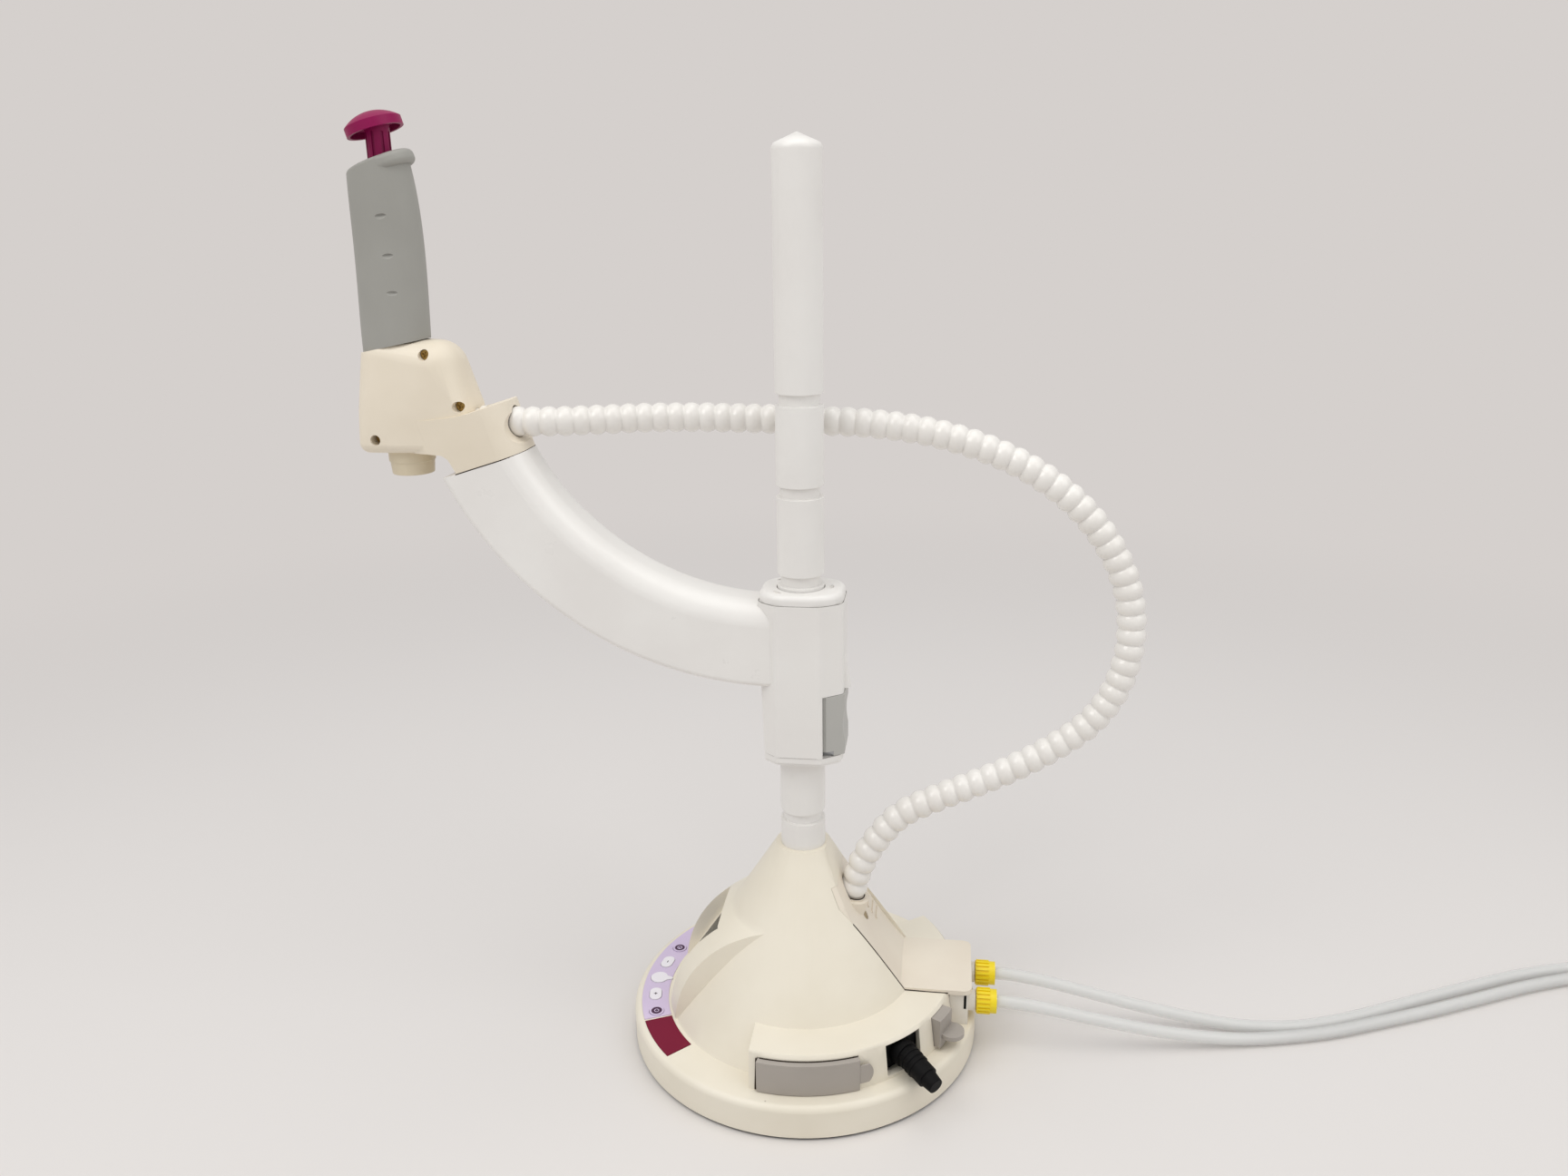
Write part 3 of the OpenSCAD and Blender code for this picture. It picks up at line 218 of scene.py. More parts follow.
camera.matrix_world = Matrix.Rotation(object_turn, 4, "Z") @ stand
bpy.context.collection.objects.link(camera)
bpy.context.scene.camera = camera
bpy.context.scene.view_settings.view_transform = "Standard"


# The ribbed hose: a white flexible water line with deep rounded ribs. It rises out of the rear cover,
# swings round behind the post and ends in the gun. It is made in three runs.
def plastic(name, tone, shade, rough, grain, depth, coat=0.0, marks=0.0, flow=None, glint=0.5):
    """Moulded plastic: tone clouded towards shade, fine mould grain, uneven gloss and, if asked, specks."""
    made, place, shader = blank(name)
    cloud = place.noise(0.03, 3.0).ramp(0.3, 0.75)
    paint = (cloud * 0.8 + place.noise(0.004) * 0.2).tint(tone, shade)
    if marks:
        spread = {"Vector": place, "Scale": 95.0, "Randomness": 1.0}
        speck = place.node("TexVoronoi", None, spread)
        which = place.node("TexVoronoi", None, spread, 1)
        lot = which.node("SeparateColor", None, {"Color": which})
        hit = (1.0 - speck.ramp(0.02, 0.07)) * lot.math("LESS_THAN", lot, marks)
        paint = (hit * 0.55).tint(paint, colour(120, 108, 92))
    paint.into(shader["Base Color"])
    gloss = rough + (place.noise(0.012, 4.0, 0.6) - 0.5) * 0.16
    gloss.into(shader["Roughness"])
    shader["Specular IOR Level"].default_value = glint
    shader["Coat Weight"].default_value = coat
    shader["Coat Roughness"].default_value = 0.12
    fine = place.noise(grain, 1.0)
    if flow:
        fine = fine * 0.5 + place.bands("Z", flow, wobble=0.4, detail=1.0) * 0.5
    fine.bump(0.6, depth).into(shader["Normal"])
    return made


def along(route, steps):
    """Points on one smooth curve through a route in millimetres, with that many steps between its points."""
    points = [Vector(p) / 1000 for p in route]
    line = []
    for i in range(len(points) - 1):
        a, b, c, d = points[max(i - 1, 0)], points[i], points[i + 1], points[min(i + 2, len(points) - 1)]
        bend = 2 * a - 5 * b + 4 * c - d
        twist = 3 * b - a - 3 * c + d
        for k in range(steps):
            t = k / steps
            line.append(0.5 * (2 * b + (c - a) * t + bend * t * t + twist * t ** 3))
    return line + [points[-1]]


def evenly(line, count):
    """The same curve as count equal steps, and its length."""
    reach = [0.0]
    for a, b in zip(line, line[1:]):
        reach.append(reach[-1] + (b - a).length)
    found, j = [], 0
    for i in range(count + 1):
        want = reach[-1] * i / count
        while j < len(line) - 2 and reach[j + 1] < want:
            j += 1
        share = (want - reach[j]) / max(reach[j + 1] - reach[j], 1e-9)
        found.append(line[j].lerp(line[j + 1], min(share, 1.0)))
    return found, reach[-1]


def drawn(name, line, radius, sides, swell=None, ends=True):
    """A mesh tube along a line. swell gives the share of the radius at each point."""
    curve = bpy.data.curves.new(name, "CURVE")
    curve.dimensions = "3D"
    curve.bevel_depth = radius
    curve.bevel_resolution = sides
    curve.use_fill_caps = ends
    spline = curve.splines.new("POLY")
    spline.points.add(len(line) - 1)
    for i, (spot, p) in enumerate(zip(spline.points, line)):
        spot.co = (*p, 1.0)
        spot.radius = swell[i] if swell else 1.0
    shape = bpy.data.objects.new(name, curve)
    bpy.context.collection.objects.link(shape)
    bpy.context.view_layer.update()
    mesh = bpy.data.meshes.new_from_object(shape.evaluated_get(bpy.context.evaluated_depsgraph_get()))
    bpy.data.objects.remove(shape)
    mesh.name = name
    mesh.shade_smooth()
    made = bpy.data.objects.new(name, mesh)
    bpy.context.collection.objects.link(made)
    return made


hose_white = plastic("hose_vinyl", colour(240, 237, 232), colour(231, 227, 221), rough=0.22,
                     grain=0.002, depth=0.00004, coat=0.3)
hose_radius = 0.0087
hose_ribs, rib_steps = 74, 12
rib_root, rib_fullness = 0.79, 0.75
hose_route = [
    (30.5, 0, 96), (35.5, 0, 114), (44, 1, 131), (60, 3, 150), (82, 5, 162), (104, 7, 171.5), (128, 9, 183),
    (150, 11, 196), (170, 12, 212), (183, 13, 231), (190, 14, 253), (191, 15, 275), (187, 16, 297),
    (178, 18, 317), (165, 20, 335), (148, 22, 351), (126, 24, 365), (100, 25, 376), (70, 26, 384),
    (38, 27, 388), (5, 27, 389.5), (-28, 26, 390.5), (-60, 23, 391.5), (-90, 17, 392), (-116, 9, 392),
    (-138, 2, 392), (-152, 0, 392), (-168, 0, 392),
]
hose_line, hose_length = evenly(along(hose_route, 16), hose_ribs * rib_steps)
rib_arch = [math.sin(math.pi * k / rib_steps) ** rib_fullness for k in range(rib_steps)]
hose_swell = [rib_root + (1 - rib_root) * rib_arch[i % rib_steps] for i in range(len(hose_line))]
# the ribs at which the runs begin and end
hose_cuts = [0, 28, 52, 74]
for i in range(3):
    first, last = hose_cuts[i] * rib_steps, hose_cuts[i + 1] * rib_steps
    run = hose_line[first:last + 1]
    hose = drawn(f"hose_run_{i + 1}", run, hose_radius, 9, hose_swell[first:last + 1])
    hose.data.materials.append(hose_white)
    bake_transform(hose)
    hose_length * (last - first) / len(hose_line)
    if i == 0:
        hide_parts("hose")


# The two water tubes: soft milky plastic tube, eight millimetres outside. They leave the yellow nuts, sink
# to the bench and run off together; what isn't needed is wound into one flat coil with a strap on it.
tube_milk, place, shader = blank("tube_milky")
shader["Base Color"].default_value = colour(240, 240, 238)
shader["Alpha"].default_value = 0.42
shader["Roughness"].default_value = 0.2
place.noise(0.012).bump(0.3, 0.0001).into(shader["Normal"])

tube_radius, tube_wall, tube_pitch = 0.004, 0.001, 8.8
tube_routes = {
    "feed": [
        (116, 14.5, 33), (132, 14.5, 33), (155, 14.5, 29.5), (180, 14.6, 24), (215, 15.5, 15.5),
        (250, 16.5, 8.5), (280, 17, 5), (310, 20.5, 4.2), (335, 28, 4.2), (360, 38.5, 4.2), (400, 58, 4.2),
        (440, 77, 4.2), (480, 95, 4.2), (520, 107.5, 4.2), (555, 112.3, 4.8), (585, 113, 5.2),
    ],
    "return": [
        (116, -14.5, 33), (132, -14.5, 33), (155, -13.6, 29.5), (180, -12, 24), (215, -7.5, 15.5),
        (250, -1.8, 8.5), (280, 4, 5), (310, 11, 4.2), (335, 18.5, 4.2), (360, 28.5, 4.2), (400, 45.5, 4.2),
        (440, 64, 4.2), (480, 82.5, 4.2), (520, 97, 4.2), (555, 103.2, 4.8), (585, 104.2, 5.2),
    ],
}
coil_x, coil_y, coil_z = 585, 50, 5.2
coil_radius, coil_turns, coil_steps = 63, 1.2, 96
for number, (which, route) in enumerate(tube_routes.items()):
    line = along(route, 6)
    # each tube winds inwards, steps up onto itself and winds out again on top
    for i in range(1, 4 * round(coil_steps / 2 * coil_turns) + 1):
        turn = i / coil_steps
        rise = min(max((turn - coil_turns) * 2 + 0.5, 0.0), 1.0)
        r = coil_radius - tube_pitch * (number + 2 * coil_turns - 2 * abs(turn - coil_turns))
        a = math.radians(90 - 360 * turn)
        z = coil_z + tube_pitch * rise * rise * (3 - 2 * rise)
        line.append(Vector((coil_x + r * math.cos(a), coil_y + r * math.sin(a), z)) / 1000)
    tube = drawn(which + "_water_tube", line, tube_radius, 7, ends=False)
    tube.data.materials.append(tube_milk)
    wall = tube.modifiers.new("wall", "SOLIDIFY")
    wall.thickness = tube_wall
    wall.offset = -1.0
    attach(tube, "base")
    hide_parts(which + "_tube", which + "_coil")
    tube_length = sum((b - a).length for a, b in zip(line, line[1:]))


# The foot pad and the weight: a disc of black rubber glued under a turned steel plate, which four screws
# hold in the shell. A bolt through the middle of the plate draws the post down.
record = frame["record"]
home = {node: body for body, held in record["behaviour"]["bodies"].items() for node in held}


def dressed(finish, *names):
    """Gives CAD nodes that stay as they are a finish of their own."""
    for node in names:
        nodes[node].material_slots[0].material = finish


def metal(name, tone, rough, grain, stretch=(1.0, 1.0, 1.0)):
    """Bare metal with fine tool lines, drawn out along one axis by stretch."""
    made, place, shader = blank(name)
    scratch = place.node("Mapping", None, {"Vector": place, "Scale": stretch}).noise(grain, 3.0, 0.6)
    dull = tuple(0.72 * c for c in tone[:3]) + (1.0,)
    scratch.ramp(0.2, 0.9).tint(tone, dull).into(shader["Base Color"])
    (rough + (scratch - 0.5) * 0.2).into(shader["Roughness"])
    shader["Metallic"].default_value = 1.0
    scratch.bump(0.4, 0.00001).into(shader["Normal"])
    return made


def joint(name, line, thick, body, finish):
    """A thin dark bead of painted shade, laid in a gap where parts meet or under a rim, along points in
    millimetres.
    """
    bead = drawn(name, [Vector(p) / 1000 for p in line], thick / 1000, 3)
    bead.data.materials.append(finish)
    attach(bead, body)


def around(bearing, radius, height):
    """A point about the middle of the base, in degrees and millimetres."""
    return (radius * math.cos(math.radians(bearing)), radius * math.sin(math.radians(bearing)), height)


foot_rubber = plastic("foot_rubber", colour(44, 43, 42), colour(34, 33, 32), rough=0.78, grain=0.0008,
                      depth=0.00005)
turned_steel = metal("turned_steel", colour(176, 178, 180), 0.34, 0.0006, (1.0, 1.0, 6.0))
dressed(foot_rubber, "base_pad")
dressed(turned_steel, "base_plate", "base_screws", "post_bolt")
# a bead of the dark rubber round the shell's foot paints the shadow in the gap under its rim
foot_edge, foot_middle = 108.2, 0.95
joint("foot_gap_shade", [around(a, foot_edge, foot_middle) for a in range(0, 361, 5)], 0.8, "base", foot_rubber)


# The base shell: one big injection moulding in cream plastic, with the cone, the display housing and the
# port ring in one. Its edges are softly rounded, its satin skin is faintly clouded and has a few scuffs.
def welded(node):
    """A copy of a CAD node with its loose triangles joined and its flat faces whole."""
    bm = bmesh.new()
    bm.from_mesh(nodes[node].data)
    bmesh.ops.remove_doubles(bm, verts=bm.verts, dist=0.000005)
    bmesh.ops.dissolve_limit(bm, angle_limit=math.radians(0.3), verts=bm.verts, edges=bm.edges)
    return bm


def keen_edges(bm):
    """The edges of a bmesh where its faces meet at more than forty degrees."""
    return [e for e in bm.edges if e.is_manifold and e.calc_face_angle(0.0) > math.radians(40.0)]


def softened(bm, edge):
    """The same bmesh with its keen edges rounded."""
    bmesh.ops.bevel(bm, geom=keen_edges(bm), offset=edge, offset_type="OFFSET", segments=2, profile=0.5,
                    affect="EDGES", clamp_overlap=True, material=-1)
    return bm


def skinned(name, bm, node, finish, instead=True):
    """A bmesh as a finished piece, smooth but for its keen edges: on a CAD node's body, and in its place."""
    for face in bm.faces:
        face.smooth = True
    for edge in bm.edges:
        edge.smooth = edge.calc_face_angle(0.0) < math.radians(44.0)
    mesh = bpy.data.meshes.new(name)
    bm.to_mesh(mesh)
    bm.free()
    if "custom_normal" in mesh.attributes:
        mesh.attributes.remove(mesh.attributes["custom_normal"])
    mesh.materials.clear()
    mesh.materials.append(finish)
    made = bpy.data.objects.new(name, mesh)
    bpy.context.collection.objects.link(made)
    even = made.modifiers.new("even_shading", "WEIGHTED_NORMAL")
    even.keep_sharp = True
    even.weight = 70
    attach(made, home[node])
    if instead:
        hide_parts(node)
    return made


def moulded(node, finish, edge):
    """A CAD node as a moulding: welded into one skin, with its keen edges rounded by edge."""
    skinned(node + "_skin", softened(welded(node), edge), node, finish)


cream = plastic("cream_satin", colour(238, 231, 215), colour(231, 223, 205), rough=0.46, grain=0.0005,
                depth=0.000012, coat=0.05, marks=0.02)
moulded("base_shell", cream, edge=0.0007)


# The keypad strip: a lilac printed film on the rim, with a bare dark magenta field beside it. Five keys are
# cut free in the film and printed: dark rings at the ends, a white oval each side of a white drop.
def film(name, tone, shade, rough=0.4, glint=0.5):
    """Printed plastic film, nearly smooth."""
    return plastic(name, tone, shade, rough, grain=0.0003, depth=0.000004, glint=glint)


ink_thick = 0.00006


def printed(name, key, ink, bars=(), arcs=()):
    """A print on a key: bars (x, y, width, height) and arcs (inner, outer, from, to), in mm and degrees."""
    low, high = (Vector(c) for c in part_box(key))
    middle = (low + high) / 2
    bm = bmesh.new()
    for x, y, width, height in bars:
        size = Matrix.Diagonal((width / 1000, height / 1000, 1, 1))
        spot = Matrix.Translation((x / 1000, y / 1000, 0)) @ size
        bmesh.ops.create_grid(bm, x_segments=1, y_segments=1, size=0.5, matrix=spot)
    for inner, outer, first, last in arcs:
        ends = [bm.verts.new(Vector(around(first, r, 0)) / 1000) for r in (inner, outer)]
        start = bm.edges.new(ends)
        bmesh.ops.spin(bm, geom=[*ends, start], cent=(0, 0, 0), axis=(0, 0, 1), steps=24,
                       angle=math.radians(last - first), use_merge=last - first == 360)
    bmesh.ops.remove_doubles(bm, verts=bm.verts, dist=0.000001)
    bmesh.ops.recalc_face_normals(bm, faces=bm.faces)
    bmesh.ops.solidify(bm, geom=bm.faces[:], thickness=ink_thick)
    facing = Matrix.Rotation(math.atan2(middle.y, middle.x) + math.pi / 2, 4, "Z")
    spot = Matrix.Translation((middle.x, middle.y, high.z + ink_thick / 2)) @ facing
    bmesh.ops.transform(bm, matrix=spot, verts=bm.verts)
    bmesh.ops.recalc_face_normals(bm, faces=bm.faces)
    skinned(name, bm, key, ink, instead=False)


lilac_film = film("lilac_film", colour(217, 201, 228), colour(211, 194, 223))
magenta_film = film("magenta_film", colour(122, 22, 52), colour(114, 16, 46), rough=0.62, glint=0.2)
white_film = film("white_film", colour(244, 241, 246), colour(238, 234, 241))
purple_ink = film("purple_ink", colour(66, 22, 66), colour(54, 14, 56), rough=0.42)
dark_ink = film("dark_ink", colour(58, 50, 60), colour(48, 40, 50), rough=0.45)
dressed(lilac_film, "keypad_label", "key_1", "key_5")
dressed(magenta_film, "plain_label")
dressed(white_film, "key_2", "key_3", "key_4")
printed("plus_print", "key_4", dark_ink, bars=[(0, 0, 2.2, 0.6), (0, 0.7, 0.6, 0.8), (0, -0.7, 0.6, 0.8)])
printed("minus_print", "key_2", dark_ink, bars=[(0, 0, 2.0, 0.6)])
printed("turn_print", "key_1", purple_ink, bars=[(0.9, -0.7, 1.0, 0.5)],
        arcs=[(1.8, 3.4, 0, 360), (0.2, 1.2, 40, 290)])
printed("globe_print", "key_5", purple_ink, arcs=[(0.1, 1.1, 0, 360), (1.6, 3.4, 0, 360)])
green_board = plastic("green_board", colour(40, 92, 60), colour(30, 76, 48), rough=0.4, grain=0.0009,
                      depth=0.00002)
dressed(green_board, "key_board")


# The display: a smoked clear window glued into the sloping floor of the housing, with a grey liquid crystal
# panel right behind it. The control board stands on four brass posts inside the cone.
smoked, place, shader = blank("smoked_window")
place.noise(0.02, 3.0).tint(colour(70, 74, 72), colour(58, 62, 60)).into(shader["Base Color"])
shader["Alpha"].default_value = 0.55
shader["Roughness"].default_value = 0.08
shader["Coat Weight"].default_value = 0.4
panel, place, shader = blank("display_panel")
cells = place.bands("Y", 260.0) * place.bands("Z", 260.0)
cells.tint(colour(88, 94, 84), colour(96, 103, 92)).into(shader["Base Color"])
(0.35 + place.noise(0.004) * 0.1).into(shader["Roughness"])
brass_post = metal("brass_post", colour(196, 168, 104), 0.3, 0.0006, (1.0, 1.0, 5.0))
dressed(smoked, "display_window")
dressed(panel, "display_module")
dressed(green_board, "control_board")
dressed(brass_post, "board_standoffs")


# The ports in the ring: a wide grey cover with a round tab at its end, a small one with a round tongue, and
# between them an open black socket with a black plug that hangs down a little. All are pushed into place.
cover_grey = plastic("cover_grey", colour(172, 165, 157), colour(163, 156, 148), rough=0.5, grain=0.0006,
                     depth=0.00002, marks=0.012)
port_black = plastic("port_black", colour(10, 10, 11), colour(6, 6, 7), rough=0.62, grain=0.0005,
                     depth=0.00002, glint=0.14)
# a dark brown for the beads of painted shade in the narrow gaps between parts
gap_shade_dark = plastic("gap_shade_dark", colour(54, 42, 30), colour(42, 32, 22), rough=0.9, grain=0.0008,
                     depth=0.00002)
moulded("wide_port_cover", cover_grey, edge=0.0006)
# dark beads paint the shade in the gap at the wide cover's left end and along its top edge
gap_side = [around(-100.1, 98.9, 23.0), around(-100.0, 96.9, 42.6)]
gap_top = [around(a, 96.4, 42.7) for a in range(-99, -64, 2)]
joint("cover_gap_shade_side", gap_side, 0.6, "wide_cover", gap_shade_dark)
joint("cover_gap_shade_top", gap_top, 0.3, "wide_cover", gap_shade_dark)

tongue_bearing, tongue_radius, tongue_thick = math.radians(-25.6), 0.0075, 0.0027
tongue_at = Matrix.Rotation(tongue_bearing, 4, "Z") @ Matrix.Translation((0.1049, 0, 0.0319))
tongue = bmesh.new()
bmesh.ops.create_cone(tongue, cap_ends=True, segments=48, radius1=tongue_radius, radius2=tongue_radius,
                      depth=tongue_thick, matrix=tongue_at)


def merged(bm, how, *others):
    """A bmesh with the forms of other bmeshes cut out of it (DIFFERENCE) or joined to it (UNION)."""
    held = []
    for form in (bm, *others):
        mesh = bpy.data.meshes.new("form")
        form.to_mesh(mesh)
        form.free()
        held.append(bpy.data.objects.new("form", mesh))
        bpy.context.collection.objects.link(held[-1])
    for other in held[1:]:
        join = held[0].modifiers.new("join", "BOOLEAN")
        join.operation = how
        join.solver = "EXACT"
        join.object = other
    bpy.context.view_layer.update()
    mesh = bpy.data.meshes.new_from_object(held[0].evaluated_get(bpy.context.evaluated_depsgraph_get()))
    made = bmesh.new()
    made.from_mesh(mesh)
    for spent in [mesh, *(form.data for form in held)]:
        bpy.data.meshes.remove(spent)
    return made


tongued = merged(welded("small_port_cover"), "UNION", tongue)
skinned("small_port_cover_skin", softened(tongued, 0.0004), "small_port_cover", cover_grey)

plug_bearing, plug_droop = math.radians(46.2), math.radians(13)
plug_mouth, plug_axis = 0.094, 0.0337
bend_length, bend_lag = 0.012, 0.005
bm = softened(welded("port_plug"), 0.00025)
bmesh.ops.transform(bm, matrix=Matrix.Rotation(plug_bearing, 4, "Z"), verts=bm.verts)
for v in bm.verts:
    beyond = max(v.co.x - plug_mouth, 0.0)
    slope = math.sin(plug_droop * min(beyond / bend_length, 1.0))
    sink = slope * max(beyond - bend_lag, beyond / 2)
    v.co.x, v.co.z = v.co.x + slope * (v.co.z - plug_axis), v.co.z - sink
bmesh.ops.transform(bm, matrix=Matrix.Rotation(-plug_bearing, 4, "Z"), verts=bm.verts)
skinned("port_plug_skin", bm, "port_plug", port_black)
dressed(port_black, "port_socket")


# The rear cover: a curved cream moulding let into the back of the cone, which carries the hose gland, with a
# flat lid over the water connectors. One screw holds it. The tubes leave through two yellow union nuts.
cover_cream = plastic("cover_cream", colour(236, 227, 211), colour(228, 217, 200), rough=0.48, grain=0.0005,
                      depth=0.000012, coat=0.05, marks=0.012)
cone_radius, cone_low, cone_fall = 86, 22, 69 / 109
lid_line = 45.6


def cone_edge(z, y, sunk):
    """Where the plane at y meets the cone at height z, a little below its surface."""
    return (math.sqrt((cone_radius - cone_fall * (z - cone_low)) ** 2 - y * y) - sunk, y, z)


moulded("rear_cover", cover_cream, edge=0.0005)
dressed(cover_cream, "hose_gland")
# dark beads down the cover's two sides paint the shade in the seam between cover and shell; the far one sits
# deeper
for side, sunk, name in ((-27.0, 0.1, "cover_seam_shade_near"), (27.6, 0.55, "cover_seam_shade_far")):
    edge = [(92, side, lid_line), (80, side, lid_line)]
    edge += [cone_edge(z, side, sunk) for z in range(46, 91, 2)]
    joint(name, edge, 0.38, "base", gap_shade_dark)

# a dark ring round the hose where it leaves the gland paints the shade in the gap there
hose_start = Vector(hose_route[0])
hose_way = (Vector(hose_route[1]) - hose_start).normalized()
lip_radius = 8.3
lip_x = lip_radius * Vector((hose_way.z, 0, -hose_way.x))
lip_y = lip_radius * Vector((0, 1, 0))
turns = [math.radians(15 * i) for i in range(25)]
lip_line = [hose_start + math.cos(a) * lip_x + math.sin(a) * lip_y for a in turns]
joint("gland_lip_shade", lip_line, 0.35, "base", gap_shade_dark)

dark_steel = metal("dark_steel", colour(186, 168, 132), 0.42, 0.0003)
moulded("rear_cover_screw", dark_steel, edge=0.00015)
fitting_white = plastic("fitting_white", colour(233, 228, 218), colour(226, 220, 208), rough=0.4,
                        grain=0.0006, depth=0.00001)
moulded("connector_block", fitting_white, edge=0.0005)
# a black and a dark brown strip on the block's near face paint the shade of a slit and of a step
slit_side, slit_middle, slit_depth, slit_height = -0.0247, 0.0386, 0.0004, 0.0102
for name, x, wide, ink in (("block_slit_shade", 102.6, 1.5, port_black), ("block_step_shade", 92.6, 0.5, gap_shade_dark)):
    slit = bmesh.new()
    size = Matrix.Diagonal((wide / 1000, slit_depth, slit_height, 1))
    at = Matrix.Translation((x / 1000, slit_side, slit_middle)) @ size
    bmesh.ops.create_cube(slit, size=1.0, matrix=at)
    skinned(name, slit, "connector_block", ink, instead=False)

nut_yellow, place, shader = blank("nut_yellow")
nut_side, nut_height = 0.0145, 0.033
flute_floor, flute_crest = 0.0000525, 0.0000600
collar_starts, collar_full = 0.1180, 0.1184
x = place.node("SeparateXYZ", None, {"Vector": place})
y = Wire(nut_yellow.node_tree, x.socket.node.outputs[1])
z = Wire(nut_yellow.node_tree, x.socket.node.outputs[2])
off_y = y.math("ABSOLUTE", y) - nut_side
off_z = z - nut_height
# the flute floors are painted a darker yellow, as shade in the grooves between the ribs; the crests and the
# collar keep the lighter yellow
crest_not_shaded = (off_y * off_y + off_z * off_z).ramp(flute_floor, flute_crest)
crest_not_shaded = crest_not_shaded.math("MAXIMUM", crest_not_shaded, x.ramp(collar_starts, collar_full))
bright = (place.noise(0.003) * 0.6).tint(colour(246, 222, 30), colour(236, 208, 18))
crest_not_shaded.tint(colour(235, 203, 14), bright).into(shader["Base Color"])
(0.34 + place.noise(0.004) * 0.12).into(shader["Roughness"])
moulded("feed_nut", nut_yellow, edge=0.0002)
moulded("return_nut", nut_yellow, edge=0.0002)


# The post: a turned white plastic rod with six latch grooves and a shallow pointed tip. Its skin shows faint
# rings from the lathe, and the bolt under the base draws it down onto the plate.
post_white = plastic("post_white", colour(238, 236, 232), colour(232, 229, 225), rough=0.34, grain=0.0012,
                     depth=0.00001, coat=0.15, flow=500.0)
moulded("post", post_white, edge=0.0004)


# The carriage: a white sleeve with bevelled corners, a cap with three slots and a foot ring, which runs on a
# plain bush. A grey thumb button at its back pulls the steel latch plate out of the post's groove.
sleeve_white = plastic("sleeve_white", colour(238, 236, 232), colour(233, 230, 226), rough=0.36,
                       grain=0.0006, depth=0.000008, coat=0.1, marks=0.006)
button_grey = plastic("button_grey", colour(184, 183, 178), colour(176, 175, 170), rough=0.46, grain=0.0006,
                      depth=0.00002)
# a grey for the beads of painted shade in the carriage's seams
gap_shade_grey = plastic("gap_shade_grey", colour(150, 147, 142), colour(138, 135, 130), rough=0.7, grain=0.0008,
                     depth=0.00002)
dressed(fitting_white, "slide_bush")
moulded("sleeve", sleeve_white, edge=0.0004)


def octagon(grow):
    """The corners of the carriage's plan in millimetres, grown by a margin."""
    front, back, wide, flat = -24 - grow, 26 + grow, 22 + grow, 13
    near = [(-flat, -wide), (flat, -wide), (back, -flat)]
    far = [(back, flat), (flat, wide), (-flat, wide)]
    return near + far + [(front, flat), (front, -flat)]


def rounded_plan(corners, height, round_by):
    """A flat face with rounded corners at a height, as a new bmesh, in millimetres."""
    bm = bmesh.new()
    points = [bm.verts.new((x / 1000, y / 1000, height / 1000)) for x, y in corners]
    bm.faces.new(points)
    bmesh.ops.bevel(bm, geom=points, offset=round_by / 1000, offset_type="OFFSET", segments=6, profile=0.5,
                    affect="VERTICES", clamp_overlap=True, material=-1)
    return bm


def corners_of(geom):
    """The vertices among what an extrusion has made."""
    return [g for g in geom if isinstance(g, bmesh.types.BMVert)]


def largest_face(bm):
    """The face of a bmesh that covers the most."""
    return max(bm.faces, key=lambda face: face.calc_area())


cap_low, cap_high = (1000 * Vector(c).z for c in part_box("sleeve_cap"))
cap_wall, cap_round, cap_hole = 0.0026, 0.0034, 0.01425
slot_turns, slot_out, slot_size = (0, 133, -133), 0.0181, (0.0014, 0.0035, 0.0026, 1)
bm = rounded_plan(octagon(-0.3), cap_low, 6.5)
lifted = bmesh.ops.extrude_face_region(bm, geom=[largest_face(bm)])["geom"]
bmesh.ops.translate(bm, vec=(0, 0, cap_wall), verts=corners_of(lifted))
cap_top = [g for g in lifted if isinstance(g, bmesh.types.BMFace)]
for i in range(6):
    first, last = math.radians(15 * i), math.radians(15 * (i + 1))
    run = cap_round * (math.cos(first) - math.cos(last))
    rise = cap_round * (math.sin(last) - math.sin(first))
    bmesh.ops.inset_region(bm, faces=cap_top, thickness=run, depth=rise, use_even_offset=True)
bmesh.ops.recalc_face_normals(bm, faces=bm.faces)
hole = bmesh.new()
bmesh.ops.create_cone(hole, cap_ends=True, segments=64, radius1=cap_hole, radius2=cap_hole, depth=0.1,
                      matrix=Matrix.Translation((0, 0, cap_low / 1000)))
cutters = [hole]
for turn in slot_turns:
    slot_cut = bmesh.new()
    at = Matrix.Rotation(math.radians(turn), 4, "Z") @ Matrix.Translation((slot_out, 0, cap_high / 1000))
    bmesh.ops.create_uvsphere(slot_cut, u_segments=24, v_segments=12, radius=1.0,
                              matrix=at @ Matrix.Diagonal(slot_size))
    cutters.append(slot_cut)
skinned("sleeve_cap_skin", merged(bm, "DIFFERENCE", *cutters), "sleeve_cap", sleeve_white)


def ring_of(corners, height, round_by):
    """The outline of a rounded plan as a closed line of points."""
    bm = rounded_plan(corners, height, round_by)
    line = [1000 * v.co for v in largest_face(bm).verts]
    bm.free()
    return line + line[:1]


ring_top = 1000 * Vector(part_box("sleeve_ring")[1]).z
# grey beads paint the shade in the seams where the cap and the foot ring meet the sleeve
joint_plan, joint_round, joint_thick, arm_face = octagon(-0.35), 3.2, 0.28, -20.8
joint("cap_gap_shade", ring_of(joint_plan, cap_low, joint_round), joint_thick, "carriage", gap_shade_grey)
ring_line = [(max(p.x, arm_face), p.y, p.z) for p in ring_of(joint_plan, ring_top, joint_round)]
joint("ring_gap_shade", ring_line, joint_thick, "carriage", gap_shade_grey)
moulded("sleeve_ring", sleeve_white, edge=0.0006)
moulded("release_button", button_grey, edge=0.0006)
dressed(turned_steel, "latch_plate", "arm_bolts")


def sprung(node):
    """A spring's CAD node as a steel piece in its place, with a mesh of its own."""
    wire = skinned(node + "_wire", welded(node), node, turned_steel)
    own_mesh(wire)


sprung("latch_spring")


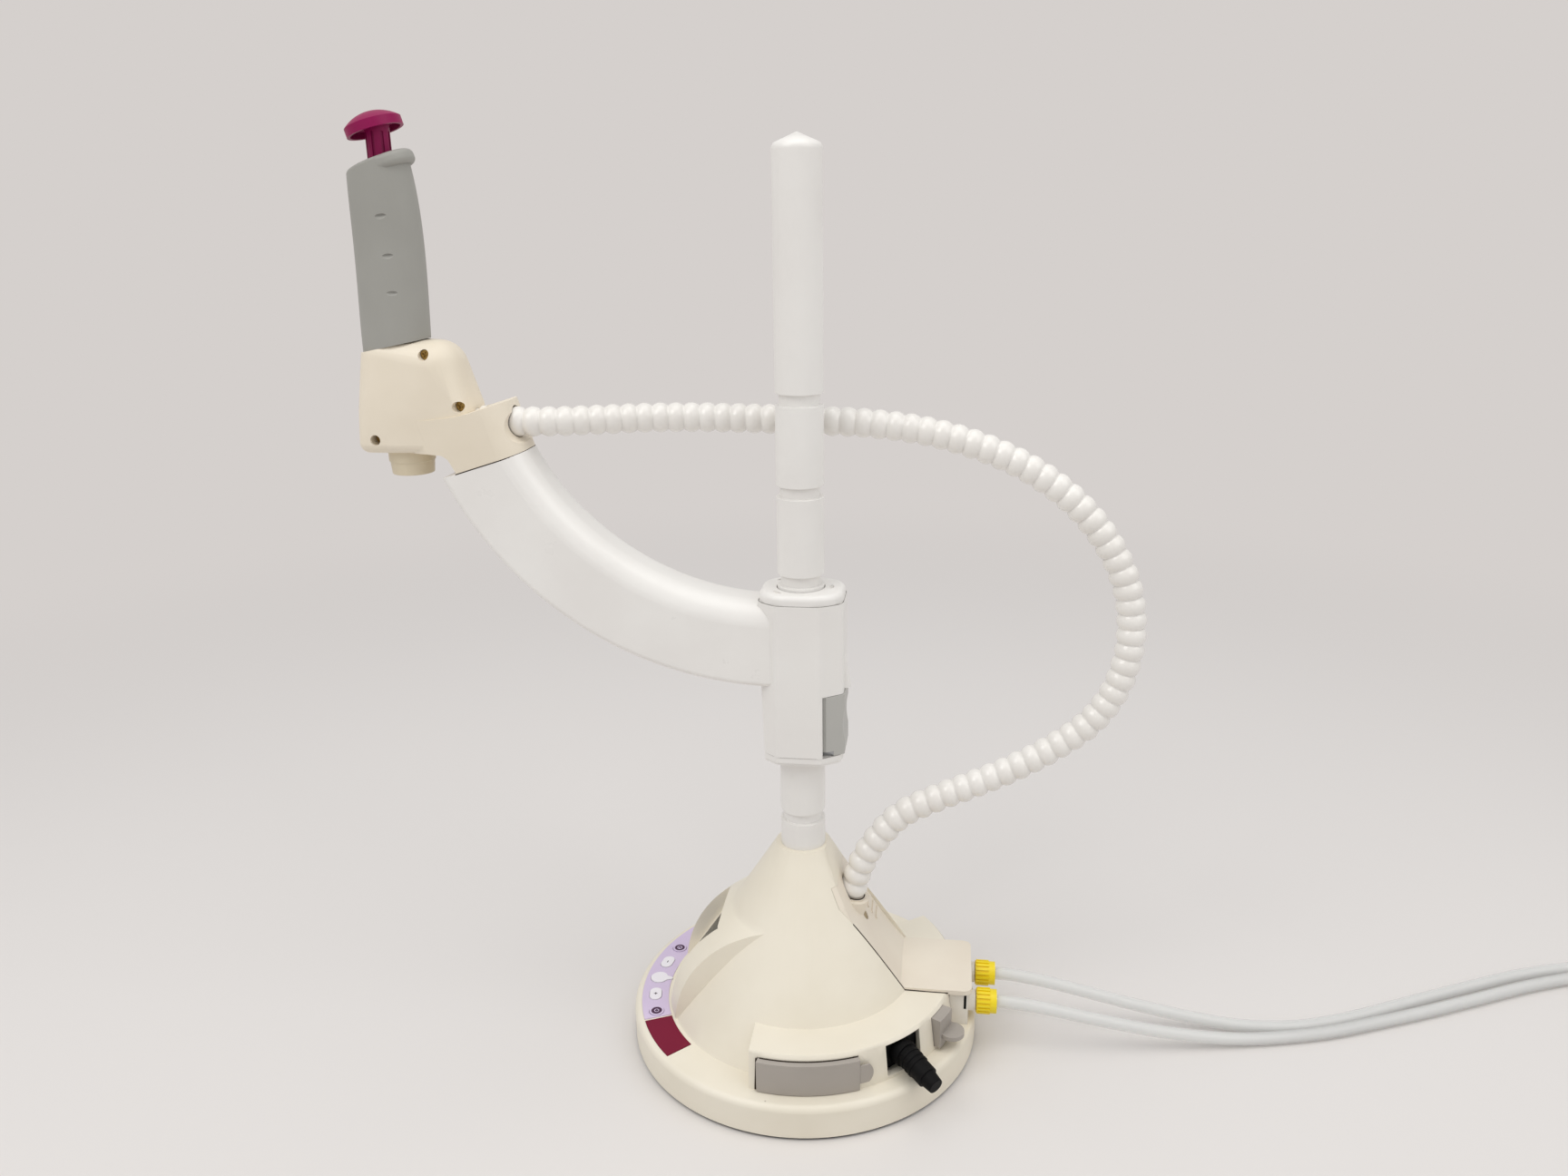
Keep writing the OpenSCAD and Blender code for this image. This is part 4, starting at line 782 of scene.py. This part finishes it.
# The arm: a thick curved white moulding, bolted to the front of the sleeve. The gun's wing rests on its
# sloping end, where a round peg holds it.
arm_white = plastic("arm_white", colour(240, 238, 234), colour(234, 231, 227), rough=0.3, grain=0.0008,
                    depth=0.000008, coat=0.15)
moulded("arm", arm_white, edge=0.0006)
dressed(fitting_white, "gun_peg")
gun_x, gun_z = -230.277, 368.901
seat_x, seat_slope = gun_x + 49, math.radians(17.4)
# a dark bead round the outline of the wing's seat paints the shade in the gap between the wing and the arm's
# end
seat_back, seat_straight, seat_flat, seat_round = -15.5, 11, 6, 13.8
seat_side, seat_end = seat_flat + seat_round, seat_straight + seat_round
corner = [math.radians(10 * i) for i in range(1, 9)]
seat_line = [(seat_back, -seat_side), (seat_straight - 0.1, -seat_side)]
for a in corner:
    seat_line.append((seat_straight + seat_round * math.sin(a), -seat_flat - seat_round * math.cos(a)))
seat_line += [(seat_end, -seat_flat), (seat_end, seat_flat)]
for a in corner:
    seat_line.append((seat_straight + seat_round * math.cos(a), seat_flat + seat_round * math.sin(a)))
seat_line += [(seat_straight - 0.1, seat_side), (seat_back, seat_side)]
seat_line = [(seat_x + x * math.cos(seat_slope), y, gun_z + x * math.sin(seat_slope)) for x, y in seat_line]
joint("seat_gap_shade", seat_line, 0.4, "arm", gap_shade_dark)


# The gun's head: two cream half shells screwed together round the valve, with a wing that rests on the arm.
# The screws sit deep in round holes on the near half; the nozzle hangs out below.
head_cream = plastic("head_cream", colour(236, 226, 208), colour(228, 217, 197), rough=0.5, grain=0.0005,
                     depth=0.000012, coat=0.04, marks=0.014)
nozzle_cream = plastic("nozzle_cream", colour(224, 212, 186), colour(214, 201, 174), rough=0.44,
                       grain=0.0006, depth=0.00001)
gun_at = Matrix.Translation((gun_x / 1000, 0, gun_z / 1000))
ledge_start, ledge_side, ledge_taper, ledge_out = 14, 0.0200, 0.072, 0.04
ledge = [
    (ledge_start, 26.1), (20.2, 26.4), (28.4, 27.2), (36.5, 28.3), (44.7, 30.2), (51.9, 32.5), (51.9, 75),
    (ledge_start, 75),
]
for half, facing in (("head_near", -1), ("head_far", 1)):
    shelf = bmesh.new()
    rim = [shelf.verts.new((x / 1000, ledge_out * facing, z / 1000)) for x, z in ledge]
    lifted = bmesh.ops.extrude_face_region(shelf, geom=[shelf.faces.new(rim)])["geom"]
    for v in corners_of(lifted):
        v.co.y = facing * (ledge_side - ledge_taper * (v.co.x - ledge_start / 1000))
    bmesh.ops.transform(shelf, matrix=gun_at, verts=shelf.verts)
    bmesh.ops.recalc_face_normals(shelf, faces=shelf.faces)
    shell = merged(softened(welded(half), 0.0006), "DIFFERENCE", shelf)
    skinned(half + "_shell", shell, half, head_cream)

brass_screw = metal("brass_screw", colour(168, 138, 80), 0.36, 0.0003)
screw_spots = ((20.2, 62.4), (38.2, 33.6), (-12.0, 14.7))
screw_face, screw_turns, recess_size = -0.0129, (20, 110), (0.0034, 0.0018, 0.0008, 1)
cutters = []
for x, z in screw_spots:
    for turn in screw_turns:
        cross = bmesh.new()
        at = gun_at @ Matrix.Translation((x / 1000, screw_face, z / 1000))
        at = at @ Matrix.Rotation(math.radians(turn), 4, "Y")
        bmesh.ops.create_cube(cross, size=1.0, matrix=at @ Matrix.Diagonal(recess_size))
        cutters.append(cross)
screws = merged(softened(welded("head_screws"), 0.0002), "DIFFERENCE", *cutters)
skinned("head_screw_set", screws, "head_screws", brass_screw)
moulded("nozzle", nozzle_cream, edge=0.0007)
dressed(fitting_white, "valve_body", "grip_core", "hose_cuff")
dressed(foot_rubber, "valve_poppet", "nozzle_seal")


# The grip: a soft grey moulding of oval section, with a sloping thumb rest on top and three thumbnail marks
# on its side. The magenta plunger slides in its middle and is pushed up by a steel spring.
grip_grey = plastic("grip_grey", colour(162, 161, 155), colour(153, 152, 146), rough=0.56, grain=0.0007,
                    depth=0.00002, marks=0.016)
plunger_magenta = plastic("plunger_magenta", colour(146, 10, 82), colour(130, 7, 70), rough=0.42,
                          grain=0.0006, depth=0.00001, glint=0.25)
# height over the gun's zero point, then the grip's middle, half depth and half width there, in millimetres
slices = [
    (59, -1.9, 19.5, 15.0), (101, -0.7, 20.0, 15.2), (127, -0.4, 19.6, 15.0), (146, -1.0, 18.8, 14.7),
    (165, -2.3, 17.1, 14.1),
]
foot_slope, head_slope = math.tan(math.radians(11)), math.tan(math.radians(19))
grip_low, grip_high, grip_last, grip_round = 67, 165.2, 165, 1.8
side_rings, round_rings = 40, 5


def grip_at(z):
    """The grip's middle, half depth and half width at a height, on a smooth curve through the slices."""
    found = []
    for k in (1, 2, 3):
        total = 0.0
        for a in slices:
            part = a[k]
            for b in slices:
                if b is not a:
                    part *= (z - b[0]) / (a[0] - b[0])
            total += part
        found.append(total)
    return found


bm = bmesh.new()
rings = []
for i in range(side_rings + round_rings + 1):
    share = min(i / side_rings, 1.0)
    over = math.radians(90 / round_rings * max(i - side_rings, 0))
    pull, lift = grip_round * (1 - math.cos(over)), grip_round * math.sin(over)
    z = grip_low + share * (grip_high - grip_low) + lift
    slope = foot_slope + share * (head_slope - foot_slope)
    middle, deep, wide = grip_at(grip_low + share * (grip_last - grip_low))
    shear = Matrix(((1, 0, 0, 0), (0, 1, 0, 0), (slope, 0, 1, 0), (0, 0, 0, 1)))
    oval = Matrix.Diagonal(((deep - pull) / 1000, (wide - pull) / 1000, 1, 1))
    at = gun_at @ Matrix.Translation((0, 0, z / 1000)) @ shear @ Matrix.Translation((middle / 1000, 0, 0))
    new = bmesh.ops.create_circle(bm, cap_ends=False, segments=64, radius=1.0, matrix=at @ oval)
    rings.append(list({e for v in new["verts"] for e in v.link_edges}))
for low, high in zip(rings, rings[1:]):
    bmesh.ops.bridge_loops(bm, edges=low + high)
bmesh.ops.holes_fill(bm, edges=rings[0] + rings[-1], sides=0)
bmesh.ops.recalc_face_normals(bm, faces=bm.faces)

# the thumb rest: a disc drawn out fore and aft, with a full round edge, sunk aslant into the grip's top
rest_radius, rest_front, rest_back, rest_thick, rest_round = 0.0134, 0.0048, -0.0046, 0.0076, 0.0029
rest_at = gun_at @ Matrix.Translation((0, 0, 0.167)) @ Matrix.Rotation(math.radians(-19), 4, "Y")
rest = bmesh.new()
bmesh.ops.create_circle(rest, cap_ends=True, segments=64, radius=rest_radius)
bmesh.ops.translate(rest, vec=(rest_front, 0, 0), verts=[v for v in rest.verts if v.co.x > 0.0001])
bmesh.ops.translate(rest, vec=(rest_back, 0, 0), verts=[v for v in rest.verts if v.co.x < 0.0])
lifted = bmesh.ops.extrude_face_region(rest, geom=rest.faces[:])["geom"]
bmesh.ops.translate(rest, vec=(0, 0, -rest_thick), verts=corners_of(lifted))
bmesh.ops.recalc_face_normals(rest, faces=rest.faces)
bmesh.ops.bevel(rest, geom=keen_edges(rest), offset=rest_round, offset_type="OFFSET", segments=5,
                profile=0.5, affect="EDGES", clamp_overlap=False, material=-1)
bmesh.ops.transform(rest, matrix=rest_at, verts=rest.verts)
bm = merged(bm, "UNION", rest)

core_bore, rod_bore = (10.95, 20, 161), (6.9, 20, 220)
mark_spots = ((-227.0, 505.6, -12), (-225.2, 484.6, -5), (-224.8, 464.6, 2))
mark_side, mark_size = -0.01475, (0.0033, 0.0020, 0.0009, 1)
cutters = []
for radius, low, high in (core_bore, rod_bore):
    bore = bmesh.new()
    at = gun_at @ Matrix.Translation((0, 0, (low + high) / 2000))
    bmesh.ops.create_cone(bore, cap_ends=True, segments=48, radius1=radius / 1000, radius2=radius / 1000,
                          depth=(high - low) / 1000, matrix=at)
    cutters.append(bore)
for x, z, lean in mark_spots:
    mark = bmesh.new()
    at = Matrix.Translation((x / 1000, mark_side, z / 1000))
    for angle, axis in ((12, "Z"), (lean, "Y"), (58, "X")):
        at = at @ Matrix.Rotation(math.radians(angle), 4, axis)
    bmesh.ops.create_uvsphere(mark, u_segments=28, v_segments=14, radius=1.0,
                              matrix=at @ Matrix.Diagonal(mark_size))
    cutters.append(mark)
skinned("grip_skin", merged(bm, "DIFFERENCE", *cutters), "grip", grip_grey)
moulded("plunger", plunger_magenta, edge=0.0007)
dressed(turned_steel, "plunger_rod")
sprung("return_spring")


# The coil's strap: a dark woven hook-and-loop band, eight millimetres wide. It goes once round all the turns
# of the two tubes and lies close on them.
strap_weave, place, shader = blank("strap_weave")
warp, weft = place.bands("X", 420.0), place.bands("Y", 420.0)
threads = warp * weft
threads.tint(colour(48, 48, 50), colour(72, 72, 74)).into(shader["Base Color"])
(0.8 + (warp - weft) * 0.1).into(shader["Roughness"])
threads.bump(0.6, 0.0001).into(shader["Normal"])
strap_out, strap_up, strap_half, strap_rise, strap_square = 46.28, 9.85, 11.4, 9.7, 0.42
strap_wide, strap_thick, strap_bearing = 0.008, 0.0008, math.radians(90 - 216)
bm = bmesh.new()
for v in bmesh.ops.create_circle(bm, cap_ends=False, segments=96, radius=1.0)["verts"]:
    out, up = (math.copysign(abs(c) ** strap_square, c) for c in v.co.xy)
    v.co = ((strap_out + strap_half * out) / 1000, -strap_wide / 2, (strap_up + strap_rise * up) / 1000)
stretched = bmesh.ops.extrude_edge_only(bm, edges=bm.edges[:])["geom"]
bmesh.ops.translate(bm, vec=(0, strap_wide, 0), verts=corners_of(stretched))
bmesh.ops.recalc_face_normals(bm, faces=bm.faces)
bmesh.ops.solidify(bm, geom=bm.faces[:], thickness=strap_thick)
at = Matrix.Translation((coil_x / 1000, coil_y / 1000, 0)) @ Matrix.Rotation(strap_bearing, 4, "Z")
bmesh.ops.transform(bm, matrix=at, verts=bm.verts)
bmesh.ops.recalc_face_normals(bm, faces=bm.faces)
skinned("coil_strap", bm, "coil_tie", strap_weave)
